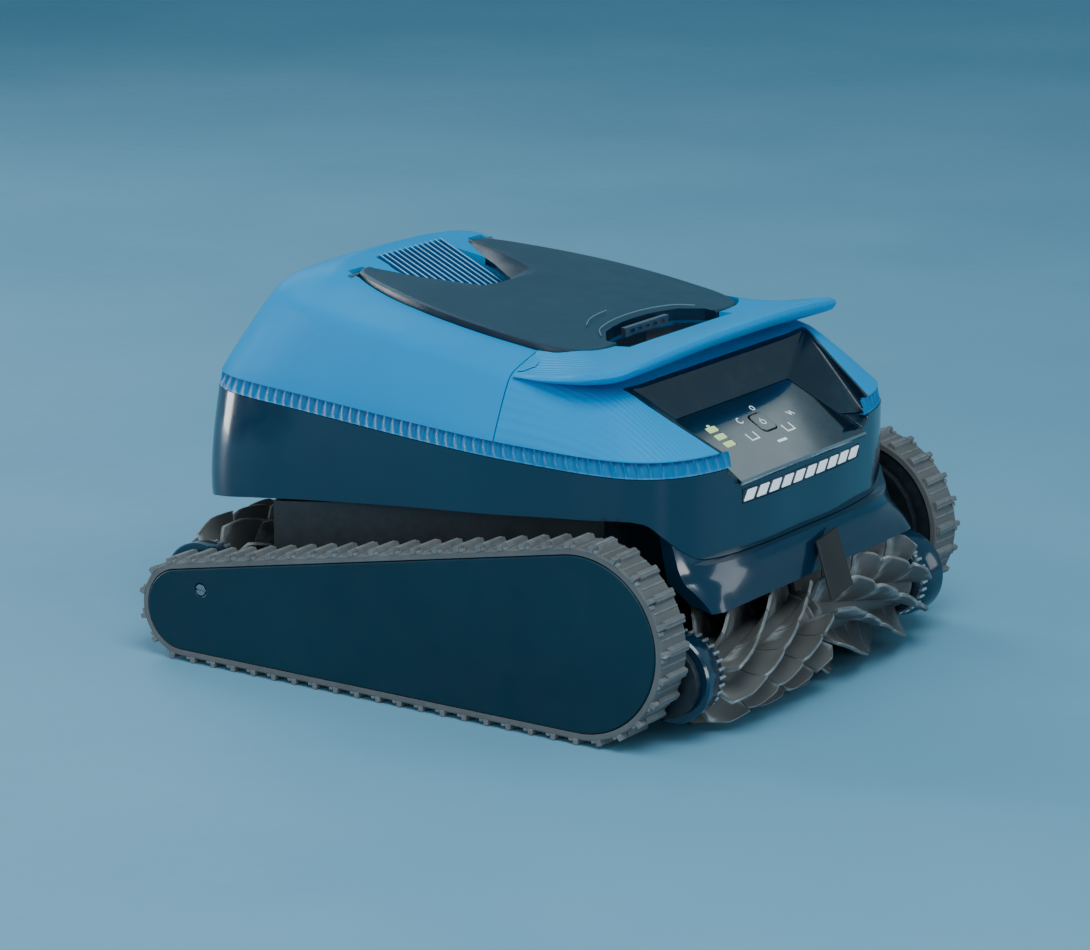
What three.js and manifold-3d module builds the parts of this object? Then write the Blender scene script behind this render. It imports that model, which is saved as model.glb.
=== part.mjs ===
// Robotic pool cleaner with two tracked drives, four brush rollers, a hinged filter lid and a
// carrying handle over the control panel. Millimetres, +Z up, front towards -Y, right side +X.
import * as THREE from 'three';
import { mergeVertices } from 'three/addons/utils/BufferGeometryUtils.js';
import Module from 'manifold-3d';

const wasm = await Module();
wasm.setup();

// Driving dimensions.
const GAP = 0.3; // between pieces that touch
const WALL = 3.5; // moulded shell thickness
const TRACK_OUTER_X = 188.5;
const TRACK_INNER_X = 159;
const LUG_TIP = 8.2; // lug tips outside the side cover's outline
const BELT_INNER = 0.5; // belt's inside face outside the side cover's outline
const BELT_OUTER = 5; // belt's outside face between lugs
const LUG_PITCH = 16.9;
const LUG_WIDTH = 6.5;
const FRONT_WHEEL = { y: -143.2, z: 65, r: 56.8 };
const REAR_WHEEL = { y: 172.7, z: 35.5, r: 27.3 };
const WHEEL_IN_X = 160.5;
const WHEEL_OUT_X = 182;
const WHEEL_CLEAR = 0.6; // wheel rim inside the belt
const AXLE_R = 6;
const RING_GEAR_R = 44; // inside of the drive wheel's ring gear
const PINION_R = 9;
const FRAME_IN_X = 152;
const FRAME_OUT_X = 157.5;
const BRUSH = { y: 187, z: 41, r: 41, hood: 42.8, core: 17, axle: 4.5 };
const BRUSH_IN_X = 2.6;
const BRUSH_OUT_X = 124.6;
const VANES = 9;
const VANE_TWIST = 95; // degrees from the inner end to the outer end
const VANE_THICK = 2.6;
const HUB_R = 24;
const TUB = { x: 139.5, y: 131, z0: 19 };
const DRIVE_MOTOR = { y: FRONT_WHEEL.y + RING_GEAR_R - PINION_R - 0.5, z: 65, r: 18 };
const BAND_HEIGHT = 11; // ribbed band along the cover's lower edge
const SEAM_Y = -58; // rear cover meets front cover
const FACET_TILT = Math.atan2(29.4, 52); // control panel below the horizontal
const LID_THICK = 8;
const LID_HINGE = { y: 109, z: 249.5 };
const DUCT = { y: 91, r: 41, z0: 113.5, z1: 205 };
const RAMP = { y0: 46, y1: 119, z1: 256.5, slope: Math.tan(THREE.MathUtils.degToRad(25)), x: 48 };
const BASKET = { x: 78, y0: -70, y1: 30, z0: 92, z1: 206 };
const INLET = { x: 46, y0: -48, y1: -10 };

const FINISH = {
  blue: [0x0e93dc, 0.35, 0],
  navy: [0x0d2c40, 0.2, 0],
  slate: [0x223c4f, 0.45, 0],
  panel: [0x141c24, 0.08, 0],
  black: [0x14181c, 0.6, 0],
  rubber: [0x54595f, 0.75, 0],
  white: [0xf4f8fa, 0.3, 0],
  green: [0xcfe6a8, 0.35, 0],
  steel: [0xb4b8bc, 0.3, 1],
  motor: [0x3b4046, 0.5, 0.3],
  mesh: [0x9fb4bf, 0.9, 0],
};

// ---- Mesh helpers ----

// Closed body from points and faces, turned so that its faces point out.
function closed(points, faces) {
  let volume = 0;
  const [a, b, c] = [new THREE.Vector3(), new THREE.Vector3(), new THREE.Vector3()];
  for (const face of faces) {
    a.fromArray(points[face[0]]);
    b.fromArray(points[face[1]]);
    c.fromArray(points[face[2]]);
    volume += a.dot(b.cross(c));
  }
  const geometry = new THREE.BufferGeometry();
  geometry.setAttribute('position', new THREE.Float32BufferAttribute(points.flat(), 3));
  geometry.setIndex(faces.flatMap((face) => (volume < 0 ? [face[0], face[2], face[1]] : face)));
  return solid(geometry);
}

function solid(geometry) {
  const bare = geometry.clone();
  bare.deleteAttribute('normal');
  bare.deleteAttribute('uv');
  const merged = mergeVertices(bare, 1e-4);
  return new wasm.Manifold(new wasm.Mesh({
    numProp: 3,
    vertProperties: new Float32Array(merged.attributes.position.array),
    triVerts: new Uint32Array(merged.index.array),
  }));
}

function geometryOf(manifold) {
  const mesh = manifold.getMesh();
  const geometry = new THREE.BufferGeometry();
  geometry.setAttribute('position', new THREE.BufferAttribute(mesh.vertProperties.slice(), 3));
  geometry.setIndex(new THREE.BufferAttribute(mesh.triVerts.slice(), 1));
  return geometry;
}

// Flat end of a swept body: the polygon is triangulated in its own plane.
function capFaces(polygon, offset) {
  const normal = new THREE.Vector3();
  polygon.forEach((p, i) => {
    const q = polygon[(i + 1) % polygon.length];
    normal.x += (p[1] - q[1]) * (p[2] + q[2]);
    normal.y += (p[2] - q[2]) * (p[0] + q[0]);
    normal.z += (p[0] - q[0]) * (p[1] + q[1]);
  });
  const turn = new THREE.Quaternion().setFromUnitVectors(normal.normalize(), new THREE.Vector3(0, 0, 1));
  const flat = polygon.map((p) => {
    const v = new THREE.Vector3(...p).applyQuaternion(turn);
    return new THREE.Vector2(v.x, v.y);
  });
  return THREE.ShapeUtils.triangulateShape(flat, []).map((t) => t.map((i) => i + offset));
}

function sideFaces(count, ringA, ringB) {
  const faces = [];
  for (let i = 0; i < count; i += 1) {
    const j = (i + 1) % count;
    faces.push([ringA + i, ringA + j, ringB + j], [ringA + i, ringB + j, ringB + i]);
  }
  return faces;
}

// Body through a row of closed sections with equal point counts.
function sweep(sections) {
  const count = sections[0].length;
  const faces = [];
  for (let k = 0; k + 1 < sections.length; k += 1) {
    faces.push(...sideFaces(count, k * count, (k + 1) * count));
  }
  const first = capFaces(sections[0], 0).map(([i, j, k]) => [i, k, j]);
  const last = capFaces(sections.at(-1), (sections.length - 1) * count);
  return closed(sections.flat(), [...first, ...faces, ...last]);
}

// Body through half rings that run from the front centre round the right side to the rear centre.
// Each ring is mirrored in X, and the first and last are closed by strips across the body.
function dome(halfRings) {
  const rings = halfRings.map((half) => [
    ...half,
    ...half.slice(1, -1).reverse().map(([x, y, z]) => [-x, y, z]),
  ]);
  const count = rings[0].length;
  const last = halfRings[0].length - 1;
  const across = (offset, flip) => {
    const faces = [];
    for (let i = 0; i < last; i += 1) {
      const [a, b] = [offset + i, offset + i + 1];
      const [c, d] = [offset + ((count - i - 1) % count), offset + ((count - i) % count)];
      const quad = [[a, b, c], [a, c, d]].filter((f) => new Set(f).size === 3);
      faces.push(...quad.map(([p, q, r]) => (flip ? [p, r, q] : [p, q, r])));
    }
    return faces;
  };
  const faces = across(0, true);
  for (let k = 0; k + 1 < rings.length; k += 1) {
    faces.push(...sideFaces(count, k * count, (k + 1) * count));
  }
  faces.push(...across((rings.length - 1) * count, false));
  return closed(rings.flat(), faces);
}

const along = {
  x: (u, v, t) => [t, u, v],
  y: (u, v, t) => [u, t, v],
  z: (u, v, t) => [u, v, t],
};

// Straight prism: an outline in the plane across the axis, from one place on the axis to another.
function prism(axis, outline, from, to) {
  return sweep([from, to].map((t) => outline.map(([u, v]) => along[axis](u, v, t))));
}

function circle(u, v, radius, segments = 24) {
  return Array.from({ length: segments }, (_, i) => {
    const turn = (2 * Math.PI * i) / segments;
    return [u + radius * Math.cos(turn), v + radius * Math.sin(turn)];
  });
}

function rod(axis, u, v, radius, from, to, segments = 24) {
  return prism(axis, circle(u, v, radius, segments), from, to);
}

function block(x0, x1, y0, y1, z0, z1) {
  return prism('z', [[x0, y0], [x1, y0], [x1, y1], [x0, y1]], z0, z1);
}

function mirrored(manifold, side) {
  return side > 0 ? manifold : manifold.mirror([1, 0, 0]);
}

const cleaner = new THREE.Group();

function place(name, finish, manifold) {
  const [color, roughness, metalness] = FINISH[finish];
  const material = new THREE.MeshStandardMaterial({ color, roughness, metalness });
  const mesh = new THREE.Mesh(geometryOf(manifold), material);
  mesh.name = name;
  cleaner.add(mesh);
}

const SIDES = [['left', -1], ['right', 1]];
const ENDS = [['front', -1], ['rear', 1]];

// ---- Outer shape ----

// Half of the body from the front centre to the rear centre: the cover's lower edge [x, y], its
// shoulder crease [x, y, z] and the rim of its flat top [x, y, z].
const STATIONS = [
  { edge: [0, -193], crease: [0, -133, 206], rim: [0, -126, 209] },
  { edge: [45, -193], crease: [42, -133, 206], rim: [40, -126, 209] },
  { edge: [82, -190], crease: [80, -132.5, 206.5], rim: [70, -125, 209.5] },
  { edge: [105, -186], crease: [98, -132, 207], rim: [86, -123, 210] },
  { edge: [125, -178.5], crease: [111, -131, 208.5], rim: [96, -119, 211] },
  { edge: [140, -167], crease: [120, -126, 210], rim: [104, -112, 212] },
  { edge: [150, -151], crease: [127, -116, 210.5], rim: [110, -100, 213] },
  { edge: [155.5, -125], crease: [132, -100, 211], rim: [113, -86, 216] },
  { edge: [157, -90], crease: [136, -79, 213], rim: [115, -71, 222.5] },
  { edge: [157, -58], crease: [137, -60, 215.5], rim: [116, -57, 228.5] },
  { edge: [154.5, -25], crease: [137, -25, 220.5], rim: [116.5, -25, 234] },
  { edge: [151, 5], crease: [136, 5, 225.5], rim: [115, 5, 239.5] },
  { edge: [146, 40], crease: [133.5, 38, 229.5], rim: [111, 38, 244.5] },
  { edge: [140, 80], crease: [127.5, 78, 232.5], rim: [102, 74, 249.5] },
  { edge: [134, 120], crease: [121, 112, 236], rim: [92, 103, 252.5] },
  { edge: [129, 156], crease: [112, 137, 239], rim: [84, 116, 254.2] },
  { edge: [123, 181], crease: [104, 150, 243], rim: [74, 123, 255.6] },
  { edge: [112, 197], crease: [92, 157, 246], rim: [62, 127, 256.8] },
  { edge: [86, 203], crease: [66, 160.5, 248], rim: [40, 129, 258] },
  { edge: [43, 205.5], crease: [34, 162, 248.5], rim: [20, 130, 258.5] },
  { edge: [0, 206], crease: [0, 162.5, 248.5], rim: [0, 130, 258.5] },
];

const edgeHeight = (y) => 167 + 0.022 * y;

// Half ring around the body at a set distance inside its faces.
function coverRings(inset = 0, topDrop = 0) {
  const shrink = ([x, y]) => [x * (1 - inset / 150), y * (1 - inset / 190)];
  const lower = STATIONS.map(({ edge }) => [...shrink(edge), edgeHeight(edge[1]) + (inset ? -2 : 0)]);
  const band = STATIONS.map(({ edge }) => {
    const [x, y] = shrink(edge);
    return [x * 0.992, y * 0.992, edgeHeight(edge[1]) + BAND_HEIGHT];
  });
  const crease = STATIONS.map(({ crease: p }) => [...shrink(p), p[2] - topDrop * 0.4]);
  const rim = STATIONS.map(({ rim: p }) => [...shrink(p), p[2] - topDrop]);
  return [lower, band, crease, rim];
}

// The navy body grows a little towards the back and below the cover's edge.
function bodyRings(inset, bottom, topExtra) {
  const ring = (z, growth) => STATIONS.map(({ edge: [x, y] }) => {
    const back = Math.max(0, y / 190) ** 1.5 * growth;
    const shift = 0.6 - inset;
    return [x * (1 + back + shift / 150), y * (1 + 0.15 * back + shift / 190), z];
  });
  const top = ring(0, -0.005).map(([x, y]) => [x, y, edgeHeight(y) - GAP + topExtra]);
  return [ring(bottom, 0.04), ring(bottom + 14, 0.06), ring(135, 0.045), top];
}

// Side view of the body's lower edge, from the rear to the front.
const LOWER_EDGE = [[212, 93], [186, 99], [19, 121], [-59, 129], [-127, 135], [-163, 135],
  [-172, 126], [-180, 115], [-186, 108], [-206, 106.5]];

function belowLowerEdge(lift) {
  const line = LOWER_EDGE.map(([y, z]) => [y, z + lift]);
  return prism('x', [...line, [-240, 106.5 + lift], [-240, 0], [240, 0], [240, 94 + lift]], -200, 200);
}

// Space of the control recess in the front: floor, slanted back and splayed sides.
function recessSpace(grow) {
  const section = (y, floorX, floorZ, sideX, sideZ, topY, topX) => [
    [-floorX - grow, y, floorZ - grow],
    [floorX + grow, y, floorZ - grow],
    [sideX + grow, y + (topY - y) * 0.35, sideZ],
    [topX + grow, topY, 264],
    [-topX - grow, topY, 264],
    [-sideX - grow, y + (topY - y) * 0.35, sideZ],
  ];
  const back = section(-139 + grow, 69, 184, 110, 210, -108 + grow, 118);
  return sweep([back, section(-205, 81, 146.7, 85, 147.5, -205, 88)]);
}

// Floor of the control recess, from its back to the front of the body.
function panelPlate(grow, depth) {
  const section = (y, x, z) => [
    [-x - grow, y, z + grow],
    [x + grow, y, z + grow],
    [x + grow, y, z - depth - grow],
    [-x - grow, y, z - depth - grow],
  ];
  return sweep([section(-138.4 + grow, 68.5, 184), section(-194.6 - grow, 78.5, 152.6)]);
}

// Arched handle over the recess: rear edge, front lip and thickness at stations from the centre out.
const VISOR = [
  { rear: [0, -85, 223.5], lip: [0, -147, 236.5], thick: 11 },
  { rear: [34, -86, 223.7], lip: [40, -147, 236.3], thick: 11 },
  { rear: [64, -89, 224.2], lip: [82, -146, 234.5], thick: 11 },
  { rear: [86, -89, 225.5], lip: [118, -143, 231], thick: 10 },
  { rear: [98, -83, 226.5], lip: [134, -137, 227.5], thick: 9 },
  { rear: [106, -74, 227.5], lip: [142, -121, 224], thick: 7.5 },
  { rear: [109.5, -66, 228.5], lip: [143, -92, 219], thick: 5 },
  { rear: [110.5, -58.6, 229.5], lip: [139, -61.5, 214.5], thick: 4 },
];

function visorSection({ rear, lip, thick }) {
  const mix = (t, lift) => rear.map((c, i) => c + (lip[i] - c) * t + (i === 2 ? lift : 0));
  const rise = (t) => 3 * Math.sin(Math.PI * t);
  return [mix(0, 0), mix(0.5, -rise(0.5)), mix(0.92, 0), mix(1, -thick * 0.35),
    mix(0.98, -thick * 0.8), mix(0.86, -thick), mix(0.5, -6 - rise(0.5)), mix(0, -6)];
}

function visorSolid() {
  const right = VISOR.map(visorSection);
  const left = right.slice(1).map((s) => s.map(([x, y, z]) => [-x, y, z])).reverse();
  return sweep([...left, ...right]);
}

// The handle's space and a small gap in front of, behind and below it.
function visorSpace() {
  const visor = visorSolid();
  const ways = [[0, -0.4, 0], [0, 0.4, 0], [0, 0, -0.5]];
  return ways.reduce((all, way) => all.add(visor.translate(way)), visor);
}

// Right half of the lid's outline from the front centre to its rear corner.
const LID_EDGE = [[0, -84], [30, -86], [60, -88.5], [84, -88.5], [97, -80], [103, -66], [104.5, -45],
  [105, -20], [103.5, 5], [100, 30], [94, 55], [86, 80], [79, 98], [73, 108], [66, 112]];
const LID_NOTCH_Y = 38;

function lidHeight(x, y) {
  const t = (y + 88) / 200;
  return 226.5 + 26.5 * (1.18 * t - 0.18 * t * t) - (x / 105) ** 2 * 1.5;
}

function lidSolid(grow, drop, rise, notch = true) {
  const ring = (lift) => LID_EDGE.map(([x, y]) => {
    const gx = x ? grow : 0;
    return [x + gx, y + Math.sign(y - 10) * grow, lidHeight(x, y) + lift];
  }).concat([[0, 112 + grow, lidHeight(0, 112) + lift]]);
  const full = dome([ring(-drop), ring(rise)]);
  if (!notch) return full;
  const wedge = [[-66 + grow, 120], [0, LID_NOTCH_Y + grow], [66 - grow, 120]];
  return full.subtract(prism('z', wedge, 150, 300));
}

// Finger recess at the lid's front edge.
function fingerSpace(grow, z0, z1) {
  const x = 60 + grow;
  const outline = [[-x, -100], [x, -100], [x, -80], [44 + grow, -69 + grow], [16, -63 + grow],
    [-16, -63 + grow], [-44 - grow, -69 + grow], [-x, -80]];
  return prism('z', outline, z0, z1);
}

// Wedge of space above the outlet ramp.
function rampSpace(grow, sink) {
  const { x, y0, y1, z1, slope } = RAMP;
  const low = z1 - (y1 - y0) * slope;
  const outline = [[y0 - grow, low - sink], [y1 + grow, z1 - sink], [y1 + grow, 290], [y0 - grow, 290]];
  return prism('x', outline, -x - grow, x + grow);
}

function addCovers() {
  const outer = dome(coverRings());
  const inner = dome(coverRings(WALL + 0.8, 14));
  const pocket = lidSolid(0.6, LID_THICK + 1.2, 40, false)
    .add(block(-77, 77, 100, 114.2, 241.8, 290));
  const basketMouth = block(-82, 82, -50, 34, 120, 290);
  const ductMouth = rod('z', 0, DUCT.y, DUCT.r + 1, 120, 290, 20)
    .intersect(block(-RAMP.x, RAMP.x, RAMP.y0 - 10, RAMP.y1 - 3, 100, 300));
  const shell = outer.subtract(inner).subtract(pocket.subtract(rearDeck())).subtract(basketMouth)
    .subtract(fingerSpace(3.5, 210, 290)).subtract(rampSpace(GAP, 8.5));
  const seam = (y0, y1) => block(-200, 200, y0, y1, 100, 300);
  const rear = shell.subtract(ductMouth)
    .intersect(seam(SEAM_Y + GAP / 2, 240)).subtract(hingeHoles());
  const front = shell.intersect(seam(-240, SEAM_Y - GAP / 2))
    .subtract(recessSpace(WALL - 0.2)).subtract(visorSpace());
  place('rear_cover', 'blue', largest(rear));
  place('front_cover', 'blue', largest(front));
  place('handle_visor', 'blue', visorSolid().subtract(fingerSpace(3.5, 205, 290)));
  return outer;
}

// Part of the deck that stays level in the lid's notch, either side of the outlet.
function rearDeck() {
  const wedge = [[-60, 120], [0, LID_NOTCH_Y + 6], [60, 120]];
  return prism('z', wedge, 150, 300);
}

// The biggest body of a cut, without loose slivers.
function largest(manifold) {
  return manifold.decompose().sort((a, b) => b.volume() - a.volume())[0];
}

function hingeHoles() {
  return rod('x', LID_HINGE.y, LID_HINGE.z, 1.9, -92, 92, 12);
}

function addLid() {
  const lid = largest(lidSolid(0, LID_THICK, 0).subtract(fingerSpace(0, 150, 300)).subtract(hingeHoles()));
  place('filter_lid', 'slate', lid);
  for (const [name, side] of SIDES) {
    const pin = rod('x', LID_HINGE.y, LID_HINGE.z, 1.6, 69, 82, 12);
    place(`lid_hinge_pin_${name}`, 'steel', mirrored(pin, side));
  }
  const z = lidHeight(0, -68) - 8.5;
  const bar = block(-26, 26, -72.8, -69.3, z, z + 6);
  const slots = [-18, -9, 0, 9, 18].map((x) => block(x - 3, x + 3, -74, -68, z + 2, z + 4));
  place('lid_latch', 'steel', slots.reduce((body, slot) => body.subtract(slot), bar));
  place('finger_tray', 'panel', fingerSpace(3, 210.4, 216.5).subtract(fingerSpace(1, 212.4, 220))
    .subtract(visorSpace()).intersect(block(-70, 70, -94.5, -50, 200, 230)));
}

// Curved slats over the outlet, set in a thin frame along the ramp.
function addOutletGrille() {
  const { x, y0, y1, z1, slope } = RAMP;
  const strip = (x0, x1, top, depth) => {
    const z = (y) => z1 - (y1 - y) * slope - top;
    return prism('x', [[y0 + 1, z(y0 + 1)], [y1 - 1, z(y1 - 1)], [y1 - 1, z(y1 - 1) - depth],
      [y0 + 1, z(y0 + 1) - depth]], x0, x1);
  };
  let grille = strip(-x + 1, x - 1, 5.5, 2.5);
  grille = grille.subtract(rod('z', 0, DUCT.y, DUCT.r - 8, 190, 300, 16));
  for (let i = 0; i < 12; i += 1) {
    const at = -x + 3 + (i * (2 * x - 6)) / 11;
    grille = grille.add(strip(at - 1.2, at + 1.2, 1, 6));
  }
  place('outlet_grille', 'blue', largest(grille.subtract(lidSolid(1.2, 20, 40))));
}

function addPump() {
  const { y, r, z0, z1 } = DUCT;
  const housing = rod('z', 0, y, r, z0, z1, 24).subtract(rod('z', 0, y, r - 3, z0 - 1, z1 + 1, 24));
  const vanes = [0, 1, 2].map((i) => block(-r + 1, -7.5, -1.2, 1.2, z1 - 28, z1 - 20)
    .rotate([0, 0, 120 * i]).translate([0, y, 0]));
  const bearing = rod('z', 0, y, 8, z1 - 28, z1 - 20, 16).subtract(rod('z', 0, y, 4.4, z1 - 30, z1, 16));
  const feet = [45, 135, 225, 315].map((a) => block(r - 2, r + 5, -4, 4, z0, z0 + 8)
    .rotate([0, 0, a]).translate([0, y, 0]));
  place('impeller_housing', 'black', [...vanes, bearing, ...feet].reduce((all, v) => all.add(v), housing));

  const shaft = rod('z', 0, y, 4, 99.5, z1 - 22, 16).add(rod('z', 0, y, 11, 148, 164, 20));
  const blades = [0, 1, 2, 3].map((i) => {
    const section = (radius, tilt) => [[-9, -1], [9, -1], [9, 1], [-9, 1]].map(([u, v]) => {
      const [c, s] = [Math.cos(tilt), Math.sin(tilt)];
      return [radius, u * c - v * s, 156 + u * s + v * c];
    });
    const blade = sweep([section(8, 0.9), section(20, 0.65), section(35.5, 0.45)]);
    return blade.rotate([0, 0, 90 * i]).translate([0, y, 0]);
  });
  place('impeller', 'panel', blades.reduce((all, blade) => all.add(blade), shaft));
}

function addBody(coverSpace) {
  const outer = dome(bodyRings(0, 88, 0));
  const inner = dome(bodyRings(4, 80, 6));
  const lamp = block(-73.5, 73.5, -205, -190.6, 137.2, 146.3);
  const body = outer.subtract(inner).subtract(belowLowerEdge(0)).subtract(recessSpace(WALL))
    .subtract(lamp);
  place('body_shell', 'navy', largest(body));

  const walls = recessSpace(WALL - 0.5).subtract(recessSpace(0)).subtract(panelPlate(0.7, 8))
    .intersect(coverSpace.add(outer)).intersect(block(-130, 130, -194.2, -90, 145, 264))
    .subtract(visorSpace());
  place('recess_surround', 'panel', largest(walls));

  const button = buttonBlock(8.6, -4.5, 12);
  place('display_panel', 'panel', panelPlate(0, 2.6).subtract(button).subtract(batteryWindows(0.3, -6)));
  place('power_button', 'panel', buttonBlock(8.2, -4, 0.8));
  const backing = onPanel(block(-5.5, 5.5, -10.1, 10.1, -4.6, -3), -50, 25);
  place('battery_light', 'green', batteryWindows(0, -3.5).add(backing));

  const bar = Array.from({ length: 9 }, (_, i) => {
    const x = -64.5 + i * 16;
    const slanted = [[x - 7, 138.4], [x + 5, 138.4], [x + 7, 145.2], [x - 5, 145.2]];
    return prism('y', slanted, -195.6, -192);
  });
  const base = block(-72, 72, -193.4, -191, 138.4, 145.2);
  place('light_bar', 'white', bar.reduce((all, segment) => all.add(segment), base));
}

// Square button seen along the panel's slope, between two depths from the panel's face.
function buttonBlock(half, from, to) {
  const corner = half - 3;
  const outline = [[half, -corner], [half, corner], [corner, half], [-corner, half], [-half, corner],
    [-half, -corner], [-corner, -half], [corner, -half]];
  return onPanel(prism('z', outline, from, to), 0, 26);
}

// Places something drawn flat at the panel's back edge: across, and down the slope from that edge.
function onPanel(manifold, across, down) {
  const slope = THREE.MathUtils.radToDeg(FACET_TILT);
  return manifold.translate([across, -down, 0]).rotate([slope, 0, 0]).translate([0, -139, 184]);
}

function batteryWindows(grow, from) {
  return [17.5, 25, 32.5].map((down) => {
    const lens = block(-5.5 - grow, 5.5 + grow, -2.6 - grow, 2.6 + grow, from, 0.4 + grow * 10);
    return onPanel(lens, -50, down);
  }).reduce((all, lens) => all.add(lens));
}

// Glossy hood below the body's front seam, flaring forward over the front brushes.
function addBumper() {
  const round = (radius, degrees) => {
    const a = THREE.MathUtils.degToRad(degrees);
    return [-BRUSH.y - radius * Math.cos(a), BRUSH.z + radius * Math.sin(a)];
  };
  const outer = [[-193.5, 0], [-195.5, 98], [-199, 91], [-203, 85], [-207.3, 79.6]];
  const arc = [63, 70, 80].map((degrees) => round(BRUSH.hood, degrees));
  const inner = [...arc, [-190.5, 96], [-189, 0]];
  // Across, with how far the top and the bottom edge lie behind the middle of the hood.
  const half = [[0, 0, 0, 0], [45, 0, 45, 0], [82, 1, 80, 0], [105, 6.5, 103, 0], [121, 15, 119, 0.5],
    [131, 25, 127, 4]];
  const nearBottom = [0, 0.3, 0.6, 0.85, 1, 1, 0.95, 0.85, 0.3, 0];
  const bend = (topX, topShift, bottomX, bottomShift, side) => [...outer, ...inner].map(([y, z], i) => {
    const t = nearBottom[i];
    const py = y + topShift * (1 - t) + bottomShift * t;
    return [side * (topX * (1 - t) + bottomX * t), py, z || lowerEdgeHeight(py) + 2];
  });
  const section = (side) => (sizes) => bend(...sizes, side);
  const right = half.map(section(1));
  const hood = sweep([...half.slice(1).reverse().map(section(-1)), ...right]);
  place('front_bumper', 'navy', hood.intersect(belowLowerEdge(-GAP)));
}

function lowerEdgeHeight(y) {
  const i = Math.max(1, LOWER_EDGE.findIndex(([edgeY]) => edgeY <= y));
  const [[y0, z0], [y1, z1]] = [LOWER_EDGE[i - 1], LOWER_EDGE[i]];
  return z0 + ((y - y0) / (y1 - y0)) * (z1 - z0);
}

// ---- Chassis and what it carries ----

function addChassis() {
  const { x, y, z0 } = TUB;
  const flange = dome(bodyRings(5.5, 80, 0)).intersect(belowLowerEdge(6.5)).subtract(belowLowerEdge(1.5));
  const deck = flange.intersect(block(-200, 200, -176, 190, 80, 160));
  const tub = block(-x, x, -y, y, z0, 150).intersect(belowLowerEdge(1.6));
  const hollow = block(-x + 3, x - 3, -y + 3, y - 3, z0 + 3, 200);
  const inletHole = block(-INLET.x, INLET.x, INLET.y0, INLET.y1, 0, 60);
  const bodyWall = block(-200, 200, -240, 240, 60, 160).subtract(belowLowerEdge(-0.6))
    .subtract(dome(bodyRings(5.2, 50, 0)));
  let chassis = deck.add(tub).subtract(hollow).subtract(inletHole).subtract(bodyWall);
  for (const side of [-1, 1]) {
    chassis = chassis.subtract(mirrored(rod('x', DRIVE_MOTOR.y, DRIVE_MOTOR.z, 5, 130, 145, 16), side));
  }
  place('chassis_tub', 'black', largest(chassis));
  const plate = block(-110, 110, -105, 105, z0 - 3.6, z0 - GAP);
  place('bottom_cover', 'black', plate.subtract(inletHole));
  const { x: ix, y0, y1 } = INLET;
  const duct = block(-ix + 0.4, ix - 0.4, y0 + 0.4, y1 - 0.4, z0 - 2, BASKET.z0 - GAP);
  const bore = block(-ix + 2.6, ix - 2.6, y0 + 2.6, y1 - 2.6, 0, 200);
  place('inlet_duct', 'black', duct.subtract(bore));
}

function addBasket() {
  const { x, y0, y1, z0, z1 } = BASKET;
  const open = (t, from, to) => block(-x + t, x - t, y0 + t, y1 - t, from, to);
  let frame = open(0, z0, z1).subtract(open(2.5, z0 + 2.5, z1 + 1));
  frame = frame.add(block(-x - 3, x + 3, y0 - 3, y1 + 1.5, z1 - 4, z1).subtract(open(2.5, z0, z1 + 1)));
  frame = frame.subtract(block(-INLET.x + 2, INLET.x - 2, INLET.y0 + 2, INLET.y1 - 2, z0 - 1, z0 + 4));
  for (const [u0, u1] of [[-x + 8, -3], [3, x - 8]]) {
    frame = frame.subtract(block(u0, u1, y0 - 1, y1 + 1, z0 + 12, z1 - 12));
  }
  frame = frame.subtract(block(-x - 1, x + 1, y0 + 8, y1 - 8, z0 + 12, z1 - 12));
  place('filter_basket', 'black', frame);
  place('filter_screen', 'mesh', open(2.8, z0 + 6, z1 - 8).subtract(open(4, z0, z1)));
  const flap = block(-INLET.x + 1, INLET.x - 1, INLET.y0 + 1, INLET.y1 + 3, z0 + 2.9, z0 + 4.6);
  place('inlet_flap', 'rubber', flap);
}

function addMotors() {
  const body = block(-46, 46, 48, 126, 24, 92).add(rod('z', 0, DUCT.y, 14, 92, 98.8, 24))
    .subtract(rod('z', 0, DUCT.y, 4.4, 95, 120, 16));
  place('pump_motor_unit', 'motor', body);
  for (const [name, side] of SIDES) {
    const { y, z, r } = DRIVE_MOTOR;
    place(`battery_pack_${name}`, 'black', mirrored(block(56, 130, -70, 60, 24, 62), side));
    const motor = rod('x', y, z, r, 80, 128, 20).add(rod('x', y, z, 8, 128, 134, 16));
    place(`drive_motor_${name}`, 'motor', mirrored(motor, side));
  }
  place('control_box', 'motor', block(-70, 70, -124, -84, 26, 84));
}

// ---- Tracks ----

// Outline round both wheels in side view [y, z], a set distance outside the side cover's outline.
function trackOutline(grow, step) {
  const [f, r] = [FRONT_WHEEL, REAR_WHEEL];
  const [dy, dz] = [r.y - f.y, r.z - f.z];
  const tangent = Math.acos((f.r - r.r) / Math.hypot(dy, dz));
  const base = Math.atan2(dz, dy);
  const arc = (wheel, from, to) => {
    const count = Math.max(2, Math.ceil(Math.abs(to - from) / THREE.MathUtils.degToRad(step)));
    return Array.from({ length: count + 1 }, (_, i) => {
      const a = from + ((to - from) * i) / count;
      return [wheel.y + (wheel.r + grow) * Math.cos(a), wheel.z + (wheel.r + grow) * Math.sin(a)];
    });
  };
  return [
    ...arc(f, base + tangent, base + 2 * Math.PI - tangent),
    ...arc(r, base - tangent, base + tangent),
  ];
}

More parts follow.
